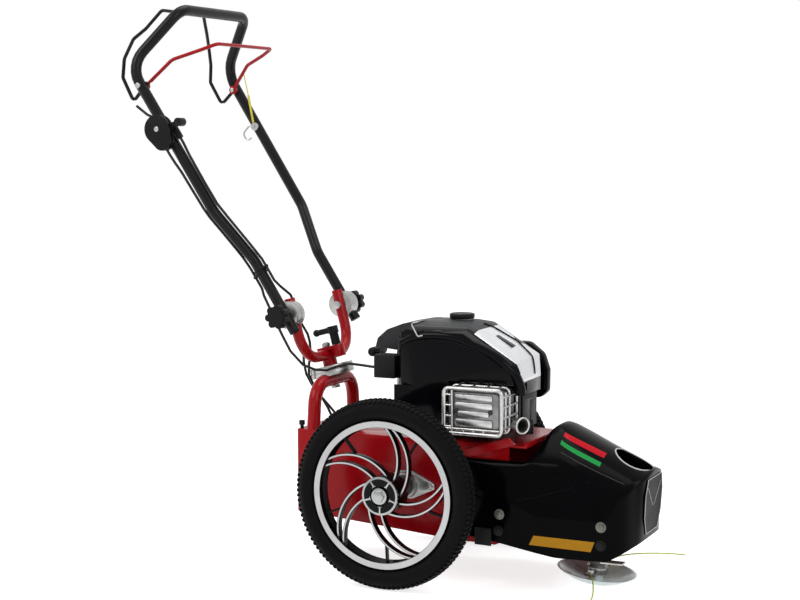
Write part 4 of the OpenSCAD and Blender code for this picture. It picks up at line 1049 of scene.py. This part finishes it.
@dataclass(frozen=True)
class StripedFinish(Finish):
    """A finish with slim straight pinstripes along a sloping line on both sides."""

    start: float = 0.330
    end: float = 0.418
    height: float = 0.3215
    fall: float = -0.44
    stripes: tuple[tuple[float, Triple], ...] = (
        (0.0, (0.55, 0.01, 0.02)), (-0.013, (0.01, 0.30, 0.06)))
    half: float = 0.0032

    def paint(self, tree: Tree, place: Socket, shader: bpy.types.Node) -> None:
        """Paints the plain finish, then the stripes over it.

        Args:
            tree: The material's nodes.
            place: Object coordinates.
            shader: The surface shader.
        """
        super().paint(tree, place, shader)
        colour = shader.inputs["Base Color"].links[0].from_socket
        split = added(tree, "SeparateXYZ", {0: place})
        x, z = split.outputs["X"], split.outputs["Z"]
        left, right = self.start + AXLE_X * MM, self.end + AXLE_X * MM
        along = sums(tree, "MULTIPLY", sums(tree, "GREATER_THAN", x, left), sums(tree, "LESS_THAN", x, right))
        slope = sums(tree, "SUBTRACT", z, sums(tree, "MULTIPLY", sums(tree, "SUBTRACT", x, left), self.fall))
        for drop, tint in self.stripes:
            off = sums(tree, "ABSOLUTE", sums(tree, "SUBTRACT", slope, self.height + drop), 0.0)
            near = sums(tree, "LESS_THAN", off, self.half)
            colour = mixed(tree, sums(tree, "MULTIPLY", near, along), colour, tint)
        feed(tree, shader, {"Base Color": colour})


NOSE = StripedFinish("nose_gloss_black", "gloss_black", (0.0014, 0.0014, 0.002), 0.12, specular=0.03,
                     tone=0.2, grain_scale=260.0, depth=0.02)
SMOKED = Finish("shield_smoke_grey", "gloss_black", (0.011, 0.011, 0.013), 0.5, specular=0.05, tone=0.5,
                patch=9.0, grain_scale=260.0, depth=0.02)
# The first crease's black is raised in colour as a painted highlight along its edge; its higher gloss is
# real.
CREASE_HIGHLIGHT = Finish("crease_painted_highlight_black", "gloss_black", (0.012, 0.012, 0.014), 0.2, specular=0.3, tone=0.2,
                grain_scale=260.0, depth=0.02)
# Pale edging on the front shield; on the scoop lip the same pale colour is a painted highlight along the
# rim's edge.
EDGING_AND_LIP_HIGHLIGHT = Finish("pale_edging_and_lip_highlight", "silver_paint", (0.55, 0.56, 0.57), 0.3, tone=0.1, patch=60.0)


@dataclass
class Nose(Assembly):
    """The black shroud over the line head, with its strip, bolts and stays."""

    dark_bolts: float = 0.140
    side_y: float = -150.0
    strip: Run = ((298, 125), (428, 124), (420, 103), (288, 105))
    widths: Run = ((112, 135), (300, 150), (455, 150), (484, 118), (500, 65))
    rises: Run = ((24, 350), (38, 336), (90, 300), (128, 268), (150, 165))
    front: Run = ((112, 500), (200, 505), (254, 508))
    creases: tuple[Run, ...] = (
        ((338, 291), (380, 274), (425, 255), (473, 236)),
        ((270, 256), (310, 247), (351, 240), (414, 240)),
        ((414, 240), (367, 225), (320, 209), (237, 186)))
    top: Run = (
        (112, 268), (268, 268), (297, 330), (311, 338), (326, 336), (345, 330), (508, 254))
    roof: Run = ((100, 441.7), (345, 326), (508, 249), (520, 243.3))
    lean: float = 25.3
    arch: Run = (
        (0, 0), (24, 1), (48, 5.5), (72, 13), (92, 22), (110, 33), (128, 48), (145, 70), (160, 96))
    bottom: Run = ((112, 112), (200, 103), (345, 83), (455, 85), (500, 112))
    stations: tuple[float, ...] = (
        112, 116, 150, 200, 250, 262, 272, 284, 296, 304, 311, 318, 326, 336, 346, 370, 400, 430, 450, 464,
        476, 486, 495, 500)
    shield: Run = (
        (-48, 238), (48, 238), (60, 205), (58, 160), (40, 124), (-40, 124), (-58, 160), (-60, 205))
    scoop: Triple = (464.0, 269.8, 42.0)
    crease_thick: float = 0.0026
    shield_thick: float = 0.0008
    strip_thick: float = 0.0006
    edge_thick: float = 0.0018
    slant_thick: float = 0.0014
    slants: Run = ((46, 222), (4, 178))
    wall_shares: tuple[float, ...] = (0.0, 0.04, 0.3, 0.6, 0.88, 1.0)
    roof_shares: tuple[float, ...] = (0.985, 0.96, 0.92, 0.87, 0.82, 0.74, 0.63, 0.49, 0.33, 0.16, 0.0)
    lip_gap: float = 1.2
    lip_thick: float = 0.0016
    scoop_cut: float = 0.120
    scoop_depth: float = 30.0
    scoop_wall: float = 2.6
    wall: float = 0.003
    deck_middle: Triple = (150.0, 0.0, 250.0)
    deck_size: Triple = (0.250, 0.2306, 0.400)

    def between(self, table: Run, at: float) -> float:
        """Reads a table of straight runs at a place.

        Args:
            table: Places and values.
            at: The place.

        Returns:
            The value there.
        """
        if at <= table[0][0]:
            return table[0][1]
        for (a, low), (b, high) in zip(table, table[1:]):
            if at <= b:
                return low + (high - low) * (at - a) / (b - a)
        return table[-1][1]

    def droop(self, y: float) -> float:
        """Gives how far the crowned roof lies below its ridge, in millimetres."""
        return self.between(self.arch, abs(y)) / math.cos(math.radians(self.lean))

    def height(self, x: float, y: float) -> float:
        """Gives the height of the shroud's skin over a place, in millimetres."""
        return min(self.between(self.top, x), self.between(self.roof, x) - self.droop(y),
                   self.between(self.rises, abs(y)))

    def half(self, x: float, z: float) -> float:
        """Gives half the shroud's width at a place along it and a height, in millimetres."""
        low, high = 0.0, self.between(self.widths, x)
        if self.height(x, high) >= z:
            return high
        for _ in range(24):
            mid = (low + high) / 2
            if self.height(x, mid) >= z:
                low = mid
            else:
                high = mid
        return low

    def grid(self, name: str, points: list[list[Vector]]) -> Piece:
        """Shapes a grid primitive to rows of points.

        Args:
            name: The piece's name.
            points: Rows of points, all equally long.

        Returns:
            The piece.
        """
        deselect()
        bpy.ops.mesh.primitive_grid_add(x_subdivisions=len(points[0]) - 1, y_subdivisions=len(points) - 1,
                                        size=1.0)
        piece = newest(name)
        flat = [p for line in points for p in line]
        for vertex, place in zip(piece.data.vertices, flat):
            vertex.co = place
        return piece

    def shell(self) -> None:
        """Lofts the smooth shroud over its sections, closes its front, and cuts it for the deck and scoop."""
        rows = []
        for x in self.stations:
            wide, low = self.between(self.widths, x), self.between(self.bottom, x)
            edge = self.height(x, wide)
            half = [(wide, low + (edge - low) * t) for t in self.wall_shares]
            ending = x == self.stations[-1]
            flat = self.roof_shares[-2] if ending else 0.0
            half += [(wide * a, self.height(x, wide * max(a, flat))) for a in self.roof_shares]
            section = half + [(-y, z) for y, z in reversed(half[:-1])]
            rows.append([row(self.between(self.front, z) if ending else x, y, z) for y, z in section])
        wrap = self.grid("nose_shell", rows)
        last = rows[-1]
        face = [[last[i], last[i].lerp(last[-1 - i], 0.5), last[-1 - i]] for i in range(len(last) // 2)]
        whole = joined([wrap, self.grid("nose_face", face)], "nose_shell")
        with editing(whole):
            bpy.ops.mesh.remove_doubles(threshold=0.0001)
            bpy.ops.mesh.normals_make_consistent(inside=False)
        shaped(whole, "SUBSURF", levels=2, render_levels=2)
        shaped(whole, "SOLIDIFY", thickness=self.wall, offset=-1.0)
        self.cut(whole, smooth(block("deck_room", row(*self.deck_middle), self.deck_size, 0.0005)))
        x, z, radius = self.scoop
        self.cut(whole, cylinder("scoop_room", row(x, 0, z), radius * MM, self.scoop_cut, self.tip()))
        smooth(whole, 42.0)
        mount(whole, "chassis", NOSE, "nose_shroud")

    def tip(self) -> Triple:
        """Gives the turn of the scoop's leaning axis."""
        return 0, math.radians(self.lean), 0

    def sag(self, piece: Piece) -> None:
        """Lets a piece down to both sides as the crowned roof falls."""
        for vertex in piece.data.vertices:
            vertex.co.z -= self.droop(vertex.co.y / MM) * MM

    def cut(self, piece: Piece, tool: Piece) -> None:
        """Cuts a tool's shape out of a piece, and takes the tool away.

        Args:
            piece: The piece.
            tool: The tool.
        """
        shaped(piece, "BOOLEAN", operation="DIFFERENCE", object=tool, solver="EXACT")
        bpy.data.objects.remove(tool)

    def scoop_cup(self) -> None:
        """Makes the cup of the hand scoop under its mouth."""
        x, z, radius = self.scoop
        a = math.radians(self.lean)
        up = Vector((math.sin(a), 0, math.cos(a)))
        depth, wall = self.scoop_depth * MM, self.scoop_wall * MM
        cup = cylinder("scoop_cup", row(x, 0, z) - up * depth / 2, radius * MM + wall, depth, self.tip())
        for face in cup.data.polygons:
            face.select = face.normal.dot(up) > 0.9
        with editing(cup, False):
            bpy.ops.mesh.select_mode(type="FACE")
            bpy.ops.mesh.inset(thickness=wall)
            bpy.ops.mesh.extrude_region_move(TRANSFORM_OT_translate={"value": -up * (depth - self.wall)})
        self.sag(cup)
        bevelled(cup, 0.0012, 2)
        smooth(cup)
        mount(cup, "chassis", GLOSS)

    def ridges(self) -> None:
        """Runs the moulded creases along both walls; the first is dressed in a lighter black that paints the
        highlight along its edge.
        """
        for crease, finish in zip(self.creases, (CREASE_HIGHLIGHT, GLOSS, GLOSS)):
            lines = [[row(x, way * self.half(x, z), z) for x, z in crease] for way in (-1, 1)]
            beads = [bead("crease", line, self.crease_thick) for line in lines]
            mount(joined(beads, "nose_crease"), "chassis", finish)

    def front_shield(self) -> None:
        """Makes the smoked panel on the front face, its pale edging and its two slanting lines."""
        points = [row(self.between(self.front, z) + 0.4, y, z) for y, z in self.shield]
        mount(prism("front_shield", points, (self.shield_thick, 0, 0), 0.0003), "chassis", SMOKED)
        lift = Vector((0.0010, 0, 0))
        beads = [bead("edging", [p + lift for p in points], self.edge_thick, True)]
        for way in (-1, 1):
            ends = [row(self.between(self.front, z), way * y, z) + lift for y, z in self.slants]
            beads.append(bead("edging", ends, self.slant_thick))
        mount(joined(beads, "front_edging"), "chassis", EDGING_AND_LIP_HIGHLIGHT)

    def scoop_lip(self) -> None:
        """Makes the round lip at the mouth of the hand scoop, pale as a painted highlight along the rim's
        edge.
        """
        x, z, radius = self.scoop
        middle_radius = (radius + self.lip_gap) * MM
        lip = hoop("scoop_lip", row(x, 0, z), middle_radius, self.lip_thick, (72, 10), self.tip())
        self.sag(lip)
        smooth(lip, ROUND)
        # The lip's pale colour is a painted highlight of the glossy rim.
        mount(lip, "chassis", EDGING_AND_LIP_HIGHLIGHT)

    def amber_strip(self) -> None:
        """Makes the plain strip along the near lower edge."""
        corners = [row(x, self.side_y - 0.2, z) for x, z in self.strip]
        mount(prism("side_strip", corners, (0, -self.strip_thick, 0), 0.0002), "chassis", AMBER)

    def build(self) -> None:
        """Makes and dresses the nose."""
        self.shell()
        self.scoop_cup()
        stays = self.skin("nose_stays", BOLT, 0.0006)
        tinted(stays, GRAINED, lambda face: face.center.z < self.dark_bolts)
        self.skin("side_brackets", GRAINED)
        self.skin("line_cutter", ZINC, 0.0004)
        self.amber_strip()
        self.ridges()
        self.front_shield()
        self.scoop_lip()


@dataclass
class LineHead(Assembly):
    """The spinning head: bowl, line plate, spindle and two strands of line."""

    at: tuple[float, float] = (382.0, 1.04)
    tilt: float = math.radians(7.0)
    line: float = 0.003
    strand_a: Path = (
        (0, -53.6, 33), (6, -66, 36), (14, -84, 36), (24, -102, 31), (33, -122, 20), (38, -142, 11),
        (40, -164, 8), (38, -186, 8))
    strand_b: Path = (
        (0, 53.2, 33), (4, 66, 36), (12, 84, 38), (26, 110, 40), (46, 138, 41), (72, 164, 42),
        (102, 186, 43), (134, 202, 44))

    def on_head(self, x: float, y: float, z: float) -> Vector:
        """Turns a point of the tilted head, in millimetres, into the frame."""
        c, s = math.cos(self.tilt), math.sin(self.tilt)
        return row(self.at[0] + x * c + z * s, y, self.at[1] - x * s + z * c)

    def strand(self, name: str, route: Path) -> None:
        """Args:
            name: The strand's node.
            route: Its points on the head.
        """
        line = curve_through([self.on_head(*p) for p in route], 4)
        piece = tube_along(f"{name}_line", line, self.line, 3)
        piece.data.splines[0].use_smooth = True
        mount(piece, "line_head", LINE, name)

    def build(self) -> None:
        """Makes and dresses the head."""
        self.strand("line_strand_a", self.strand_a)
        self.strand("line_strand_b", self.strand_b)
        self.skin("spindle_housing", IRON, 0.001)
        self.skin("spindle", ZINC)
        self.skin("line_plate", ZINC, 0.0008)
        self.skin("glide_bowl", BOWL, 0.0008, angle=50.0)


@dataclass
class Steering(Assembly):
    """The red fork on its swivel, with discs, clamp and cables."""

    def build(self) -> None:
        """Makes and dresses the steering."""
        self.skin("fork", RED, 0.004, 3, angle=ROUND)
        self.skin("fork_discs", ZINC, 0.0012)
        self.skin("clamp_lever", GRAINED, 0.0015, 3)
        self.bend_skin("swivel_cables", CABLE, [
            ("chassis", "fork_body", row(-110, -60, 438), row(-224, -108, 431)),
            ("chassis", "fork_body", row(-227, -20, 309), row(-262, -54, 456)),
            ("chassis", "fork_body", row(-232, 12, 309), row(-280, -54, 460))])
        self.bend_skin("fold_cables", CABLE, [
            ("fork_body", "bar", row(-242, -128, 443), row(-324, -152, 592)),
            ("fork_body", "bar", row(-262, -56, 476), row(-292, -134, 612)),
            ("fork_body", "bar", row(-280, -57, 480), row(-312, -110, 590))])


@dataclass
class Handlebar(Assembly):
    """The black bar with its bails, throttle, discs, knobs and cables."""

    knob_round: float = 0.003
    screw: tuple[float, float] = (-5.0, 479.0)
    screw_size: tuple[float, float] = (0.0058, 0.004)
    screw_round: float = 0.0012

    def build(self) -> None:
        """Makes and dresses the handlebar."""
        for node, finish in (("handlebar", BLACK), ("stop_bail", RED), ("drive_bail", BLACK)):
            self.skin(node, finish, 0.0, angle=ROUND)
        self.skin("bar_discs", ZINC, 0.0012)
        self.skin("bar_trim", GRAINED, 0.0008)
        self.skin("throttle_housing", GRAINED, 0.0025, 3)
        self.skin("throttle_lever", GRAINED, 0.0015, 3)
        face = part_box("throttle_housing")[0].y / MM
        x, z = self.screw
        screw = cylinder("throttle_screw", on_bar(x, face, z), *self.screw_size, SIDEWAYS, 32)
        bevelled(screw, self.screw_round)
        mount(smooth(screw), "bar", ZINC)
        self.skin("rope_guide", ZINC, 0.0, angle=ROUND)
        self.skin("bail_bolts", ZINC, 0.0005)
        for side in ("right", "left"):
            self.skin(f"knob_{side}", GRAINED, self.knob_round, 3)
        self.skin("bar_cables", CABLE, 0.0, angle=ROUND)
        wire = skin_of("bail_wire", 0.0, 1, ROUND)
        dress(wire, SLEEVE)
        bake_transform(wire)
        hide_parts("bail_wire")
        log.info("%s between bar and stop", wire.name)


@dataclass
class Studio:
    """A pale floor, a plain soft light and the camera."""

    camera_at: Triple = (1466.0, -3358.0, 937.0)
    azimuth: float = math.radians(24.58)
    pitch: float = math.radians(5.53)
    focal_px: float = 1700.0
    width_px: float = 800.0
    sky: float = 0.40
    floor_tone: float = 0.86
    floor_glow: float = 0.76
    floor_radius: float = 14.0
    lamps: tuple[tuple[str, Triple, float, float], ...] = (
        ("key_lamp", (-1.8, -2.6, 3.2), 1.6, 58.0),
        ("fill_lamp", (3.0, -2.0, 2.2), 1.8, 30.0),
        ("top_lamp", (0.2, 0.6, 3.6), 2.2, 44.0))
    aim: Triple = (0.0, 0.0, 0.45)

    def camera(self) -> None:
        """Sets the camera where the picture was taken from."""
        data = bpy.data.cameras.new("camera")
        data.sensor_width = 36.0
        data.lens = self.focal_px / self.width_px * data.sensor_width
        data.clip_end = 60.0
        eye = bpy.data.objects.new("camera", data)
        bpy.context.scene.collection.objects.link(eye)
        c = math.cos(self.pitch)
        ahead = Vector((-math.sin(self.azimuth) * c, math.cos(self.azimuth) * c, -math.sin(self.pitch)))
        eye.location = row(*self.camera_at)
        eye.rotation_mode = "QUATERNION"
        eye.rotation_quaternion = ahead.to_track_quat("-Z", "Y")
        bpy.context.scene.camera = eye

    def seen(self, tree: Tree) -> Socket:
        """Tells rays of the camera, of gloss and of glass from the rays that light the object.

        Args:
            tree: The nodes of a material or of the world.

        Returns:
            A socket that is 1 for those rays and 0 for the others.
        """
        path = added(tree, "LightPath", {})
        total = path.outputs["Is Camera Ray"]
        for name in ("Is Glossy Ray", "Is Transmission Ray"):
            total = sums(tree, "MAXIMUM", total, path.outputs[name])
        return total

    def world(self) -> None:
        """Makes a white surround that lights the object at a lower level."""
        world = bpy.data.worlds.new("surround")
        bpy.context.scene.world = world
        world.use_nodes = True
        tree = world.node_tree
        level = added(tree, "MapRange", {"Value": self.seen(tree), "To Min": self.sky, "To Max": 1.0})
        feed(tree, tree.nodes["Background"], {"Color": (1, 1, 1, 1), "Strength": level.outputs["Result"]})

    def floor(self) -> None:
        """Makes the pale floor, which keeps the object's shadow."""
        deselect()
        bpy.ops.mesh.primitive_circle_add(vertices=64, radius=self.floor_radius, fill_type="NGON",
                                          location=(0, 0, -0.0005))
        ground = newest("floor")
        material = bpy.data.materials.new("floor_pale")
        material.use_nodes = True
        tree = material.node_tree
        feed(tree, tree.nodes["Principled BSDF"], {
            "Base Color": (self.floor_tone,) * 3 + (1,), "Roughness": 0.9, "Specular IOR Level": 0.0,
            "Emission Color": (1, 1, 1, 1),
            "Emission Strength": sums(tree, "MULTIPLY", self.seen(tree), self.floor_glow)})
        ground.data.materials.append(material)

    def lamp(self, name: str, place: Triple, size: float, power: float) -> None:
        """Hangs a soft square lamp that faces the object.

        Args:
            name: The lamp's name.
            place: Where it hangs, in metres.
            size: The length of its side in metres.
            power: Its power in watts.
        """
        data = bpy.data.lights.new(name, "AREA")
        data.shape = "SQUARE"
        data.size = size
        data.energy = power
        light = bpy.data.objects.new(name, data)
        bpy.context.scene.collection.objects.link(light)
        light.location = place
        light.rotation_mode = "QUATERNION"
        light.rotation_quaternion = (Vector(self.aim) - Vector(place)).to_track_quat("-Z", "Y")

    def build(self) -> None:
        """Makes the studio."""
        bpy.context.scene.view_settings.view_transform = "Standard"
        self.camera()
        self.world()
        self.floor()
        for lamp in self.lamps:
            self.lamp(*lamp)


def main() -> None:
    """Builds the studio and every sub-assembly in order."""
    logging.basicConfig(level=logging.INFO, format="%(name)s: %(message)s")
    Studio().build()
    LineHead().build()
    Wheel("right", -230.0).build()
    Wheel("left", 230.0).build()
    Chassis().build()
    Engine().build()
    Nose().build()
    Steering().build()
    Handlebar().build()


if __name__ == "__main__":
    main()
